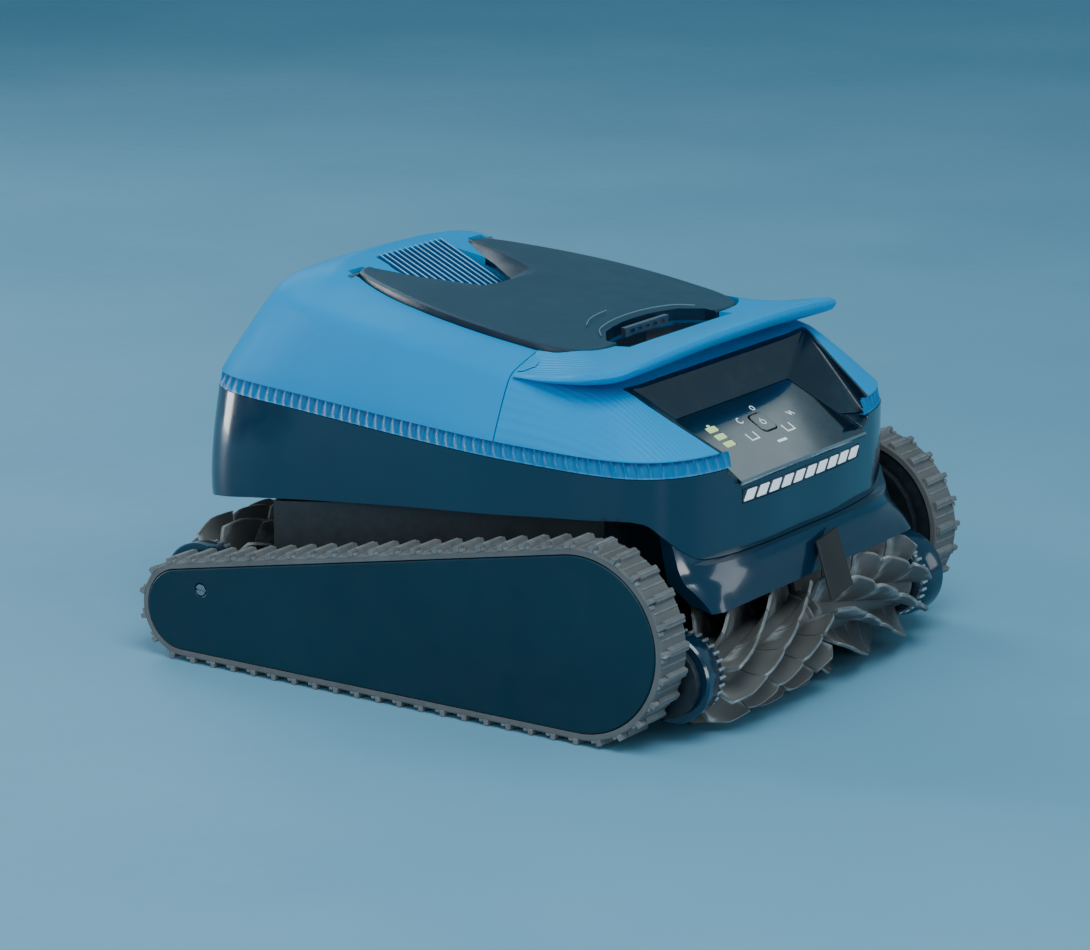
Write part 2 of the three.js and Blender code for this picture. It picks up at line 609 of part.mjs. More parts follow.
// Belt outline with square lugs standing out at an even pitch.
function luggedOutline() {
  const link = trackOutline(BELT_OUTER, 6);
  const lengths = link.map((p, i) => {
    const q = link[(i + 1) % link.length];
    return Math.hypot(q[0] - p[0], q[1] - p[1]);
  });
  const total = lengths.reduce((sum, l) => sum + l, 0);
  const lugs = Math.round(total / LUG_PITCH);
  const at = (distance) => {
    let rest = ((distance % total) + total) % total;
    let i = 0;
    while (rest > lengths[i]) {
      rest -= lengths[i];
      i += 1;
    }
    const [p, q] = [link[i], link[(i + 1) % link.length]];
    const [ty, tz] = [(q[0] - p[0]) / lengths[i], (q[1] - p[1]) / lengths[i]];
    return { y: p[0] + ty * rest, z: p[1] + tz * rest, ny: tz, nz: -ty };
  };
  const points = [];
  for (let i = 0; i < lugs; i += 1) {
    const start = (i * total) / lugs;
    const height = LUG_TIP - BELT_OUTER;
    for (const [offset, lift] of [[0, 0], [1, height], [LUG_WIDTH - 1, height], [LUG_WIDTH, 0]]) {
      const p = at(start + offset);
      points.push([p.y + p.ny * lift, p.z + p.nz * lift]);
    }
  }
  return points;
}

function addTracks() {
  const belt = prism('x', luggedOutline(), TRACK_INNER_X, TRACK_OUTER_X - 0.5)
    .subtract(prism('x', trackOutline(BELT_INNER, 12), TRACK_INNER_X - 1, TRACK_OUTER_X + 1));
  const cover = prism('x', trackOutline(0, 12), WHEEL_OUT_X + 1, TRACK_OUTER_X - 1.5)
    .add(prism('x', trackOutline(-2, 12), TRACK_OUTER_X - 2, TRACK_OUTER_X));
  const hub = (wheel, u) => rod('x', wheel.y, wheel.z, AXLE_R + u, 140, 184.5, 12);
  const lobes = [-1, 1].map((end) => rod('x', end * BRUSH.y, BRUSH.z, HUB_R, FRAME_IN_X, FRAME_OUT_X, 20));
  const standoffs = [[-110, 40], [-60, 80], [0, 40], [60, 60], [110, 35]].map(([y, z]) => (
    rod('x', y, z, 7, TUB.x + GAP, FRAME_IN_X + 1, 8)));
  const frame = [...lobes, ...standoffs].reduce((all, piece) => all.add(piece),
    prism('x', trackOutline(-8, 18), FRAME_IN_X, FRAME_OUT_X))
    .subtract(hub(FRONT_WHEEL, GAP)).subtract(hub(REAR_WHEEL, GAP - 1))
    .subtract(rod('x', DRIVE_MOTOR.y, DRIVE_MOTOR.z, 5, 140, 160, 10));
  const screw = rod('x', 155, 52, 4, TRACK_OUTER_X - 2.5, TRACK_OUTER_X, 12);
  const screwHole = rod('x', 155, 52, 4.3, TRACK_OUTER_X - 2.8, TRACK_OUTER_X + 1, 12);
  for (const [name, side] of SIDES) {
    place(`track_belt_${name}`, 'rubber', mirrored(belt, side));
    place(`side_cover_${name}`, 'navy', mirrored(cover.subtract(screwHole), side));
    place(`side_cover_screw_${name}`, 'steel', mirrored(screw, side));
    place(`side_frame_${name}`, 'black', mirrored(frame, side));
    place(`drive_wheel_${name}`, 'black', mirrored(driveWheel(), side));
    place(`idler_wheel_${name}`, 'black', mirrored(idlerWheel(), side));
    const { y, z } = DRIVE_MOTOR;
    const pinion = rod('x', y, z, 4, 134.4, 162, 16).add(rod('x', y, z, PINION_R, 161, 171, 20));
    place(`drive_pinion_${name}`, 'steel', mirrored(pinion, side));
    place(`drive_axle_${name}`, 'steel',
      mirrored(rod('x', FRONT_WHEEL.y, FRONT_WHEEL.z, AXLE_R, FRAME_IN_X, 182.6, 20), side));
    place(`idler_axle_${name}`, 'steel',
      mirrored(rod('x', REAR_WHEEL.y, REAR_WHEEL.z, AXLE_R - 1, FRAME_IN_X, 182.6, 20), side));
  }
}

// Ring round a wheel's axis: outer radius, inner radius and its stretch along X.
function ring(wheel, outer, inner, from, to, segments) {
  return rod('x', wheel.y, wheel.z, outer, from, to, segments)
    .subtract(rod('x', wheel.y, wheel.z, inner, from - 1, to + 1, segments));
}

function driveWheel() {
  const rim = FRONT_WHEEL.r + BELT_INNER - WHEEL_CLEAR;
  return ring(FRONT_WHEEL, rim, RING_GEAR_R, WHEEL_IN_X, WHEEL_OUT_X, 30)
    .add(ring(FRONT_WHEEL, RING_GEAR_R + 1, AXLE_R + 4, WHEEL_OUT_X - 5, WHEEL_OUT_X, 30))
    .add(ring(FRONT_WHEEL, AXLE_R + 6, AXLE_R + 0.4, WHEEL_IN_X, WHEEL_OUT_X, 16));
}

function idlerWheel() {
  const rim = REAR_WHEEL.r + BELT_INNER - WHEEL_CLEAR;
  return ring(REAR_WHEEL, rim, rim - 5, WHEEL_IN_X, WHEEL_OUT_X, 20)
    .add(ring(REAR_WHEEL, rim - 4, AXLE_R + 3, 169, 173, 20))
    .add(ring(REAR_WHEEL, AXLE_R + 4, AXLE_R - 0.6, WHEEL_IN_X, WHEEL_OUT_X, 14));
}

// ---- Brushes ----

// Roller on the right of the front axle: rubber core with vanes that twist along it.
function brushRoller() {
  const steps = 9;
  const pitch = (2 * Math.PI) / VANES;
  const rootHalf = Math.asin(VANE_THICK / 2 / BRUSH.core);
  const tipHalf = Math.asin(VANE_THICK / 2 / BRUSH.r);
  const corners = [[BRUSH.core, -rootHalf], [BRUSH.r, -tipHalf], [BRUSH.r, tipHalf],
    [BRUSH.core, rootHalf], [BRUSH.core, pitch / 2]];
  const sections = Array.from({ length: steps }, (_, i) => {
    const t = i / (steps - 1);
    const x = BRUSH_IN_X + (BRUSH_OUT_X - BRUSH_IN_X) * t;
    return Array.from({ length: VANES }, (__, vane) => corners.map(([r, turn]) => {
      const angle = vane * pitch + turn + THREE.MathUtils.degToRad(VANE_TWIST) * t;
      return [x, r * Math.cos(angle), r * Math.sin(angle)];
    })).flat();
  });
  return sweep(sections).subtract(rod('x', 0, 0, BRUSH.axle + 0.6, 0, 130, 10));
}

function addBrushes() {
  const roller = brushRoller();
  for (const [end, direction] of ENDS) {
    const y = direction * BRUSH.y;
    const turned = direction < 0 ? roller : roller.mirror([0, 1, 0]);
    for (const [name, side] of SIDES) {
      place(`${end}_brush_${name}`, 'rubber', mirrored(turned.translate([0, y, BRUSH.z]), side));
      const hub = rod('x', y, BRUSH.z, HUB_R, 125.4, FRAME_IN_X - GAP, 20)
        .subtract(rod('x', y, BRUSH.z, BRUSH.axle + GAP, 120, 150, 10));
      place(`${end}_brush_hub_${name}`, 'navy', mirrored(hub, side));
    }
    place(`${end}_brush_axle`, 'steel', rod('x', y, BRUSH.z, BRUSH.axle, -149.5, 149.5, 16));
    const [root, tip] = [direction * (TUB.y + GAP), direction * (BRUSH.y - BRUSH.axle - 3)];
    const arm = prism('x', [[root, 28], [root, 56], [tip, BRUSH.z + 8], [tip, BRUSH.z - 8]], -1.8, 1.8)
      .add(rod('x', y, BRUSH.z, 11, -1.8, 1.8, 20))
      .subtract(rod('x', y, BRUSH.z, BRUSH.axle + GAP, -3, 3, 16));
    place(`${end}_brush_bracket`, 'black', arm);
  }
}

addBody(addCovers());
addLid();
addOutletGrille();
addPump();
addBumper();
addChassis();
addBasket();
addMotors();
addTracks();
addBrushes();

export default cleaner;
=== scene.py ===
import math

import bmesh
import bpy
import numpy as np
from mathutils import Matrix, Vector


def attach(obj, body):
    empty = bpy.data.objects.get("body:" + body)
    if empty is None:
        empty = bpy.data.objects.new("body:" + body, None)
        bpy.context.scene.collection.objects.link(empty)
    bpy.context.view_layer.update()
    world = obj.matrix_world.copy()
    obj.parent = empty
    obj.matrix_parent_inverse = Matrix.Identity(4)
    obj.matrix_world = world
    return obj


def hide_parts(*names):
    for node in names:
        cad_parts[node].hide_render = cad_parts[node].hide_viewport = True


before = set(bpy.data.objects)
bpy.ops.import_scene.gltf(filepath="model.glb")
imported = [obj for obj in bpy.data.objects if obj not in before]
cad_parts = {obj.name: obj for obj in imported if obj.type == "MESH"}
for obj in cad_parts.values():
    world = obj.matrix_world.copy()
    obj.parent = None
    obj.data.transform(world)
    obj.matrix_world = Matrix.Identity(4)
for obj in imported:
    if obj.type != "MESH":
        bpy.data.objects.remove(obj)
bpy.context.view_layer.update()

MM = 0.001
SIDES = (("left", -1), ("right", 1))

# ---------------------------------------------------------------- curves and meshes (millimetres)


def spline(points, steps, ends="free"):
    """Centripetal curve through points; ends may be free, mirrored in X, or closed."""
    p = np.asarray(points, float)
    if ends == "closed":
        q = np.vstack([p[-1], p, p[0], p[1]])
    elif ends == "mirror":
        flip = np.ones(p.shape[1])
        flip[MIRROR_COLUMNS[p.shape[1]]] = -1
        q = np.vstack([p[1] * flip, p, p[-2] * flip])
    else:
        q = np.vstack([2 * p[0] - p[1], p, 2 * p[-1] - p[-2]])
    out = []
    for i in range(len(q) - 3):
        a, b, c, d = q[i : i + 4]
        t1 = max(np.linalg.norm(b - a), 1e-6) ** 0.5
        t2 = t1 + max(np.linalg.norm(c - b), 1e-6) ** 0.5
        t3 = t2 + max(np.linalg.norm(d - c), 1e-6) ** 0.5
        for k in range(steps):
            t = t1 + (t2 - t1) * k / steps
            a1 = (t1 - t) / t1 * a + t / t1 * b
            a2 = (t2 - t) / (t2 - t1) * b + (t - t1) / (t2 - t1) * c
            a3 = (t3 - t) / (t3 - t2) * c + (t - t2) / (t3 - t2) * d
            b1 = (t2 - t) / t2 * a1 + t / t2 * a2
            b2 = (t3 - t) / (t3 - t1) * a2 + (t - t1) / (t3 - t1) * a3
            out.append((t2 - t) / (t2 - t1) * b1 + (t - t1) / (t2 - t1) * b2)
    if ends != "closed":
        out.append(q[-2])
    return np.array(out)


MIRROR_COLUMNS = {2: [0], 3: [0], 8: [0, 2, 5]}


def mesh(name, points, faces):
    me = bpy.data.meshes.new(name)
    me.from_pydata([tuple(float(c) * MM for c in p) for p in points], [], [tuple(f) for f in faces])
    bm = bmesh.new()
    bm.from_mesh(me)
    bmesh.ops.remove_doubles(bm, verts=bm.verts, dist=2e-6)
    bmesh.ops.dissolve_degenerate(bm, edges=bm.edges, dist=1e-6)
    bmesh.ops.recalc_face_normals(bm, faces=bm.faces)
    bm.to_mesh(me)
    bm.free()
    obj = bpy.data.objects.new(name, me)
    bpy.context.scene.collection.objects.link(obj)
    return obj


def loft(name, rings, closed=True, caps=True):
    """Surface through rings of equal length."""
    n = len(rings[0])
    faces = []
    for k in range(len(rings) - 1):
        for i in range(n if closed else n - 1):
            j = (i + 1) % n
            faces.append((k * n + i, k * n + j, (k + 1) * n + j, (k + 1) * n + i))
    if caps:
        faces.append(tuple(range(n)))
        faces.append(tuple((len(rings) - 1) * n + i for i in range(n)))
    return mesh(name, np.concatenate([np.asarray(r, float) for r in rings]), faces)


def mirrored_ring(half):
    half = np.asarray(half, float)
    other = half[1:-1][::-1].copy()
    other[:, 0] *= -1
    return np.vstack([half, other])


def dome(name, half_rings):
    """Closed body through mirrored half rings, closed below and above by strips across it."""
    low, high = np.asarray(half_rings[0], float), np.asarray(half_rings[-1], float)
    shrink = [np.array([s, 1, 1]) for s in (0.75, 0.5, 0.25, 0.0)]
    rings = [low * s for s in shrink[::-1]] + list(half_rings) + [high * s for s in shrink]
    return loft(name, [mirrored_ring(r) for r in rings], caps=False)


def prism(name, axis, outline, a, b):
    at = "xyz".index(axis)
    return loft(name, [[(*point[:at], t, *point[at:]) for point in map(tuple, outline)] for t in (a, b)])


def circle(u, v, r, n=48):
    return [(u + r * math.cos(2 * math.pi * i / n), v + r * math.sin(2 * math.pi * i / n)) for i in range(n)]


def rod(name, axis, u, v, r, a, b, n=48):
    return prism(name, axis, circle(u, v, r, n), a, b)


def block(name, x0, x1, y0, y1, z0, z1):
    return prism(name, "z", [(x0, y0), (x1, y0), (x1, y1), (x0, y1)], z0, z1)


def lathe(name, profile, x_axis_at, n=64):
    """Turned piece about a line along X; the profile is (x, radius), closed."""
    y0, z0 = x_axis_at
    rings = []
    for i in range(n):
        a = 2 * math.pi * i / n
        rings.append([(x, y0 + r * math.cos(a), z0 + r * math.sin(a)) for x, r in profile])
    m = len(profile)
    faces = []
    for i in range(n):
        for k in range(m):
            after, beside = (i + 1) % n, (k + 1) % m
            faces.append((i * m + k, i * m + beside, after * m + beside, after * m + k))
    return mesh(name, np.concatenate([np.array(r) for r in rings]), faces)


def apply(obj):
    """Turns the modifiers into plain mesh."""
    depsgraph = bpy.context.evaluated_depsgraph_get()
    depsgraph.update()
    me = bpy.data.meshes.new_from_object(obj.evaluated_get(depsgraph))
    obj.modifiers.clear()
    obj.data = me
    return obj


def combine(obj, others, operation="DIFFERENCE"):
    for other in others:
        mod = obj.modifiers.new("cut", "BOOLEAN")
        mod.operation = operation
        mod.solver = "EXACT"
        mod.object = other
        apply(obj)
        bpy.data.objects.remove(other)
    return obj


def clone(obj):
    twin = obj.copy()
    twin.data = obj.data.copy()
    bpy.context.scene.collection.objects.link(twin)
    return twin


def join(name, objs):
    bm = bmesh.new()
    for o in objs:
        bm.from_mesh(o.data)
        bpy.data.objects.remove(o)
    me = bpy.data.meshes.new(name)
    bm.to_mesh(me)
    bm.free()
    obj = bpy.data.objects.new(name, me)
    bpy.context.scene.collection.objects.link(obj)
    return obj


def soften(obj, width=0.6, segments=3, angle=35):
    mod = obj.modifiers.new("bevel", "BEVEL")
    mod.width = width * MM
    mod.segments = segments
    mod.limit_method = "ANGLE"
    mod.angle_limit = math.radians(angle)
    mod.harden_normals = False
    return obj


def finish_piece(obj, name, material, body="root", hides=(), smooth=35):
    obj.name = name
    obj.data.name = name
    obj.data.materials.clear()
    obj.data.materials.append(material)
    for polygon in obj.data.polygons:
        polygon.use_smooth = True
        polygon.material_index = 0
    if smooth:
        obj.data.set_sharp_from_angle(angle=math.radians(smooth))
    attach(obj, body)
    if hides:
        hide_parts(*hides)
    return obj


# ---------------------------------------------------------------- materials


def hex_rgb(code):
    value = [int(code[i : i + 2], 16) / 255 for i in (0, 2, 4)]
    return tuple(c / 12.92 if c <= 0.04045 else ((c + 0.055) / 1.055) ** 2.4 for c in value)


def surface(name, low, high, rough=0.3, spread=0.08, grain=900, bump=0.02, edge_wear_and_highlight=None, coat=0.0, metal=0.0,
            big=14, spec=0.5, ribs=None, rough_scale=60, emit=0.0):
    """Moulded or cast surface: two tones mixed over large patches, fine grain, uneven gloss, and a lighter
    colour on sharp edges, which is wear on some materials and a painted highlight on others.
    """
    m = bpy.data.materials.new(name)
    m.use_nodes = True
    nodes, links = m.node_tree.nodes, m.node_tree.links
    nodes.clear()
    out = nodes.new("ShaderNodeOutputMaterial")
    shader = nodes.new("ShaderNodeBsdfPrincipled")
    links.new(shader.outputs[0], out.inputs[0])
    shader.inputs["Metallic"].default_value = metal
    shader.inputs["Coat Weight"].default_value = coat
    shader.inputs["Coat Roughness"].default_value = 0.05
    shader.inputs["Specular IOR Level"].default_value = spec
    place = nodes.new("ShaderNodeTexCoord")

    def noise(scale, detail=3.0):
        node = nodes.new("ShaderNodeTexNoise")
        node.inputs["Scale"].default_value = scale
        node.inputs["Detail"].default_value = detail
        links.new(place.outputs["Object"], node.inputs["Vector"])
        return node.outputs["Fac"]

    def ramp(source, a, b):
        node = nodes.new("ShaderNodeMapRange")
        node.inputs["From Min"].default_value = 0.3
        node.inputs["From Max"].default_value = 0.7
        node.inputs["To Min"].default_value = a
        node.inputs["To Max"].default_value = b
        links.new(source, node.inputs["Value"])
        return node.outputs[0]

    tone = nodes.new("ShaderNodeMix")
    tone.data_type = "RGBA"
    links.new(ramp(noise(big), 0, 1), tone.inputs["Factor"])
    tone.inputs["A"].default_value = (*hex_rgb(low), 1)
    tone.inputs["B"].default_value = (*hex_rgb(high), 1)
    colour = tone.outputs["Result"]
    # Sharp edges take a lighter colour: wear on the treads, chassis, motor case and recess, a painted
    # highlight on the band ribs and vane tips.
    if edge_wear_and_highlight:
        edge = nodes.new("ShaderNodeNewGeometry")
        sharp = nodes.new("ShaderNodeMapRange")
        sharp.inputs["From Min"].default_value = 0.52
        sharp.inputs["From Max"].default_value = 0.62
        links.new(edge.outputs["Pointiness"], sharp.inputs["Value"])
        broken = nodes.new("ShaderNodeMath")
        broken.operation = "MULTIPLY"
        links.new(sharp.outputs[0], broken.inputs[0])
        links.new(ramp(noise(180), 0.25, 0.9), broken.inputs[1])
        edge_wear_and_highlight_mix = nodes.new("ShaderNodeMix")
        edge_wear_and_highlight_mix.data_type = "RGBA"
        links.new(broken.outputs[0], edge_wear_and_highlight_mix.inputs["Factor"])
        links.new(colour, edge_wear_and_highlight_mix.inputs["A"])
        edge_wear_and_highlight_mix.inputs["B"].default_value = (*hex_rgb(edge_wear_and_highlight), 1)
        colour = edge_wear_and_highlight_mix.outputs["Result"]
    links.new(colour, shader.inputs["Base Color"])
    gloss = ramp(noise(rough_scale, 5), max(0.02, rough - spread / 2), rough + spread / 2)
    links.new(gloss, shader.inputs["Roughness"])
    height = ramp(noise(grain, 2), 0, 1)
    relief = nodes.new("ShaderNodeBump")
    relief.inputs["Strength"].default_value = bump
    relief.inputs["Distance"].default_value = 0.0004
    links.new(height, relief.inputs["Height"])
    normal = relief.outputs[0]
    if ribs:
        uv = nodes.new("ShaderNodeSeparateXYZ")
        links.new(place.outputs["Object"], uv.inputs[0])
        wave = nodes.new("ShaderNodeMath")
        wave.operation = "SINE"
        times = nodes.new("ShaderNodeMath")
        times.operation = "MULTIPLY"
        links.new(uv.outputs[0], times.inputs[0])
        times.inputs[1].default_value = 2 * math.pi / (ribs[0] * MM)
        links.new(times.outputs[0], wave.inputs[0])
        fine = nodes.new("ShaderNodeBump")
        fine.inputs["Strength"].default_value = ribs[1]
        fine.inputs["Distance"].default_value = 0.0005
        links.new(wave.outputs[0], fine.inputs["Height"])
        links.new(normal, fine.inputs["Normal"])
        normal = fine.outputs[0]
    links.new(normal, shader.inputs["Normal"])
    if emit:
        shader.inputs["Emission Color"].default_value = (*hex_rgb(high), 1)
        shader.inputs["Emission Strength"].default_value = emit
    return m


BLUE = surface("shell_blue", "008fca", "0097d2", 0.42, 0.1, 1400, 0.04, big=9, spec=0.06)
BLUE_FINE = surface("shell_blue_ribbed", "0091cc", "0099d4", 0.38, 0.1, 1400, 0.04, big=9, spec=0.1,
                    ribs=(3.0, 0.22))
# Pale blue for the louvre tops: painted highlight on the slat edges.
LOUVRE_PAINTED_HIGHLIGHT = surface("louvre_painted_highlight", "7fc0e6", "96d0f0", 0.4, 0.1, 1200, 0.03)
# Fluted band: a darker blue than the shell as painted shade under the cover's overhang, with light blue on
# the rib edges as a painted highlight.
BLUE_BAND_SHADE_AND_HIGHLIGHT = surface("shell_blue_band_painted_shade_and_highlight", "006498", "0070a6", 0.34, 0.1, 1400, 0.04, edge_wear_and_highlight="5cbcf0", big=12,
                    spec=0.3)
NAVY = surface("body_navy", "08243a", "0b2c40", 0.16, 0.08, 1000, 0.02, coat=0.5, big=7)
COVER_NAVY = surface("side_navy", "0c2836", "10303e", 0.38, 0.1, 1300, 0.05, big=8, spec=0.3)
SLATE = surface("lid_slate", "1b3a4c", "214252", 0.4, 0.1, 1500, 0.06, big=10, spec=0.35)
# Darker slate: painted shade on the lid's steep sides and notch faces, and in the gaps behind the lamp
# segments.
SLATE_PAINTED_SHADE = surface("lid_painted_shade", "071a2c", "0a2238", 0.3, 0.1, 1500, 0.05, big=10)
PANEL = surface("panel_gloss", "0a141c", "0f1c26", 0.07, 0.05, 800, 0.01, coat=0.8, big=20)
RECESS = surface("recess_dark", "0d1c28", "12232f", 0.24, 0.12, 1200, 0.04, edge_wear_and_highlight="3f5a68", coat=0.3, big=12)
BLACK = surface("chassis_black", "0a0f14", "10171d", 0.5, 0.15, 1200, 0.12, edge_wear_and_highlight="2d363c")
RUBBER = surface("tread_rubber", "5a5858", "686664", 0.62, 0.14, 700, 0.25, edge_wear_and_highlight="96999c", big=30, spec=0.35)
# The light edge colour on the vanes is a painted highlight on the blade tips.
VANE = surface("vane_rubber", "5e5c5a", "706c6a", 0.5, 0.14, 800, 0.18, edge_wear_and_highlight="b0b2b2", big=30, spec=0.45)
# White with a faint glow: lamp light on the light bar segments, a painted glow on the printed power sign and
# panel marks.
WHITE = surface("light_white", "dfe8ee", "f6fafc", 0.3, 0.1, 600, 0.02, emit=0.35)
GREEN = surface("battery_green", "b9d98a", "d2eaa8", 0.35, 0.1, 600, 0.02, emit=0.45)
LOUVRE_BLUE = surface("louvre_blue", "064f80", "065c92", 0.35, 0.1, 1200, 0.04)
LIP_GREY = surface("lip_grey", "4f6672", "5f7884", 0.2, 0.1, 900, 0.03, coat=0.4)
TRIM_LINE = surface("trim_line", "5d7c8b", "7391a0", 0.3, 0.1, 700, 0.03)
SPLINE_METAL = surface("spline_metal", "b8c0c6", "d8dee2", 0.22, 0.1, 600, 0.04, metal=0.8)
STEEL = surface("steel", "8d9298", "a9aeb3", 0.3, 0.15, 500, 0.05, metal=1.0)
MOTOR = surface("motor_case", "22272c", "2d3338", 0.5, 0.15, 700, 0.1, edge_wear_and_highlight="5a6066")
MESH = surface("screen_mesh", "7f95a0", "a4b8c2", 0.85, 0.1, 2600, 0.8)
FLAP = surface("flap_rubber", "101214", "191b1d", 0.6, 0.1, 700, 0.2)

# ---------------------------------------------------------------- outline of the covers

STATIONS = [
    (0, -193, 0, -133, 206, 0, -126, 209),
    (45, -193, 42, -133, 206, 40, -126, 209),
    (82, -190, 80, -132.5, 206.5, 70, -125, 209.5),
    (105, -186, 98, -132, 207, 86, -123, 210),
    (125, -178.5, 111, -131, 208.5, 96, -119, 211),
    (140, -167, 120, -126, 210, 104, -112, 212),
    (150, -151, 127, -116, 210.5, 110, -100, 213),
    (155.5, -125, 132, -100, 211, 113, -86, 216),
    (157, -90, 136, -79, 213, 115, -71, 222.5),
    (157, -58, 137, -60, 215.5, 107, -57, 225.4),
    (154.5, -25, 137, -25, 220.5, 106.5, -25, 230),
    (151, 5, 136, 5, 225.5, 105.5, 5, 234.1),
    (146, 40, 133.5, 38, 229.5, 101, 38, 238.5),
    (140, 80, 127.5, 78, 232.5, 92, 74, 243.1),
    (134, 120, 121, 112, 236, 83, 103, 248.8),
    (129, 156, 112, 137, 239, 82, 116, 253.4),
    (123, 181, 104, 150, 243, 74, 123, 255.6),
    (112, 197, 92, 157, 246, 62, 127, 256.8),
    (86, 203, 66, 160.5, 248, 40, 129, 258),
    (43, 205.5, 34, 162, 248.5, 20, 130, 258.5),
    (0, 206, 0, 162.5, 248.5, 0, 130, 258.5),
]
FINE = spline(STATIONS, 7, "mirror")
SEAM_Y = -58
BAND = 11
WALL = 3.5
HALF_WIDTH, HALF_LENGTH = 150, 190


def edge_height(y):
    return 167 + 0.022 * y


def bezier(a, c, b, u):
    return (1 - u) ** 2 * a + 2 * u * (1 - u) * c + u**2 * b


def cover_rows(inset=0.0, drop=0.0, fine=True):
    sx, sy = 1 - inset / HALF_WIDTH, 1 - inset / HALF_LENGTH
    scale = np.array([sx, sy, 1])
    edge = np.column_stack([FINE[:, 0], FINE[:, 1], edge_height(FINE[:, 1])])
    band = edge * [0.992, 0.992, 1] + [0, 0, BAND]
    crease = FINE[:, 2:5] - [0, 0, drop * 0.4]
    rim = FINE[:, 5:8] - [0, 0, drop]
    rows = [
        edge * [1 - 3 / HALF_WIDTH, 1 - 3 / HALF_LENGTH, 1] + [0, 0, 0.5 if fine else -2],
        band * [1 - 2.6 / HALF_WIDTH, 1 - 2.6 / HALF_LENGTH, 1] - [0, 0, 0.9],
    ]
    if fine:
        rows.append(band - [0, 0, 0.9])
    rows.append(band)
    for s in (0.25, 0.5, 0.72):
        bulge = 1 + 0.005 * 4 * s * (1 - s)
        rows.append((band * (1 - s) + crease * s) * [bulge, bulge, 1])
    a, b = band * 0.14 + crease * 0.86, crease * 0.72 + rim * 0.28
    rows += [bezier(a, crease, b, u) for u in (0, 0.2, 0.4, 0.6, 0.8, 1)]
    a, b = crease * 0.3 + rim * 0.7, rim * [0.9, 1, 1]
    rows += [bezier(a, rim, b, u) for u in (0, 0.25, 0.5, 0.75, 1)]
    return [r * scale for r in rows]


def body_ring(z, growth, inset=0.0):
    edge = FINE[:, :2]
    back = np.maximum(0, edge[:, 1] / HALF_LENGTH) ** 1.5 * growth
    shift = 0.6 - inset
    x = edge[:, 0] * (1 + back + shift / HALF_WIDTH)
    y = edge[:, 1] * (1 + 0.15 * back + shift / HALF_LENGTH)
    return np.column_stack([x, y, np.full(len(x), z) if np.isscalar(z) else z])


# ---------------------------------------------------------------- cutting bodies

LOWER_EDGE = [(212, 93), (186, 99), (19, 121), (-59, 129), (-127, 135), (-163, 135), (-172, 126),
              (-180, 115), (-186, 108), (-206, 106.5)]


def lower_edge_height(y):
    pairs = sorted(LOWER_EDGE)
    return float(np.interp(y, [p[0] for p in pairs], [p[1] for p in pairs]))


def below_lower_edge(lift=0.0):
    line = spline(LOWER_EDGE, 4)
    outline = [(y, z + lift) for y, z in line]
    outline += [(-240, 106.5 + lift), (-240, 0), (240, 0), (240, 94 + lift)]
    return prism("below", "x", outline, -200, 200)


def recess_space(grow):
    def section(y, floor_x, floor_z, side_x, side_z, top_y, top_x):
        return [(-floor_x - grow, y, floor_z - grow), (floor_x + grow, y, floor_z - grow),
                (side_x + grow, y + (top_y - y) * 0.35, side_z), (top_x + grow, top_y, 264),
                (-top_x - grow, top_y, 264), (-side_x - grow, y + (top_y - y) * 0.35, side_z)]

    space = loft("recess_space", [section(-139 + grow, 69, 184, 110, 210, -108 + grow, 118),
                                  section(-205, 81, 146.7, 85, 147.5, -205, 88)])
    return apply(soften(space, 7 + grow * 0.5, 5, 20))


VISOR = [
    (0, -85, 223.5, 0, -147, 236.5, 11),
    (34, -86, 223.7, 40, -147, 236.3, 11),
    (64, -89, 224.2, 82, -146, 234.5, 11),
    (86, -89, 225.5, 118, -143, 231, 10),
    (98, -83, 226.5, 134, -137, 227.5, 9),
    (105, -74, 225.6, 142, -121, 224, 7.5),
    (106.5, -66, 225.6, 142.5, -92, 218.6, 4.5),
    (107, -58.6, 225.6, 138, -61, 215.6, 2.2),
]


def visor_body(name, grow=0.0):
    rows = spline(VISOR, 6)
    sections = []
    for row in rows:
        rear, lip, thick = row[0:3], row[3:6], row[6]

        def at(t, lift):
            return rear + (lip - rear) * t + np.array([0, 0, lift])

        crown = ((0, 0), (0.25, -1.6), (0.5, -2.4), (0.72, -1.9), (0.88, -0.5))
        top = [at(t, lift + grow) for t, lift in crown]
        round_lip = [at(0.96, -0.1), at(1.0, -thick * 0.18), at(1.012, -thick * 0.4), at(1.0, -thick * 0.65),
                     at(0.97, -thick * 0.87), at(0.92, -thick)]
        under = [at(0.8, -thick * 0.95 - grow), at(0.5, -8.4 - grow), at(0.25, -7.4 - grow), at(0, -6 - grow)]
        sections.append(np.array(top + round_lip + under))
    left = [s * [-1, 1, 1] for s in sections[1:]][::-1]
    return loft(name, left + sections)


LID_EDGE = [(0, -84), (30, -86), (60, -88.5), (84, -88.5), (97, -80), (103, -66), (104.5, -45), (105, -20),
            (103.5, 5), (100, 30), (94, 55), (86, 80), (79, 98), (73, 108), (66, 112)]
LID_LINE = np.vstack([spline(LID_EDGE, 5), [[30, 112.3], [0, 112.4]]])


def lid_height(x, y):
    t = (y + 88) / 200
    return 226.5 + 26.5 * (1.18 * t - 0.18 * t * t) - (x / 105) ** 2 * 1.5


def lid_ring(grow, lift):
    x, y = LID_LINE[:, 0], LID_LINE[:, 1]
    gx = x + np.where(x > 1, grow, 0)
    gy = y + np.clip((y - 10) / 60, -1, 1) * grow
    return np.column_stack([gx, gy, lid_height(x, y) + lift])


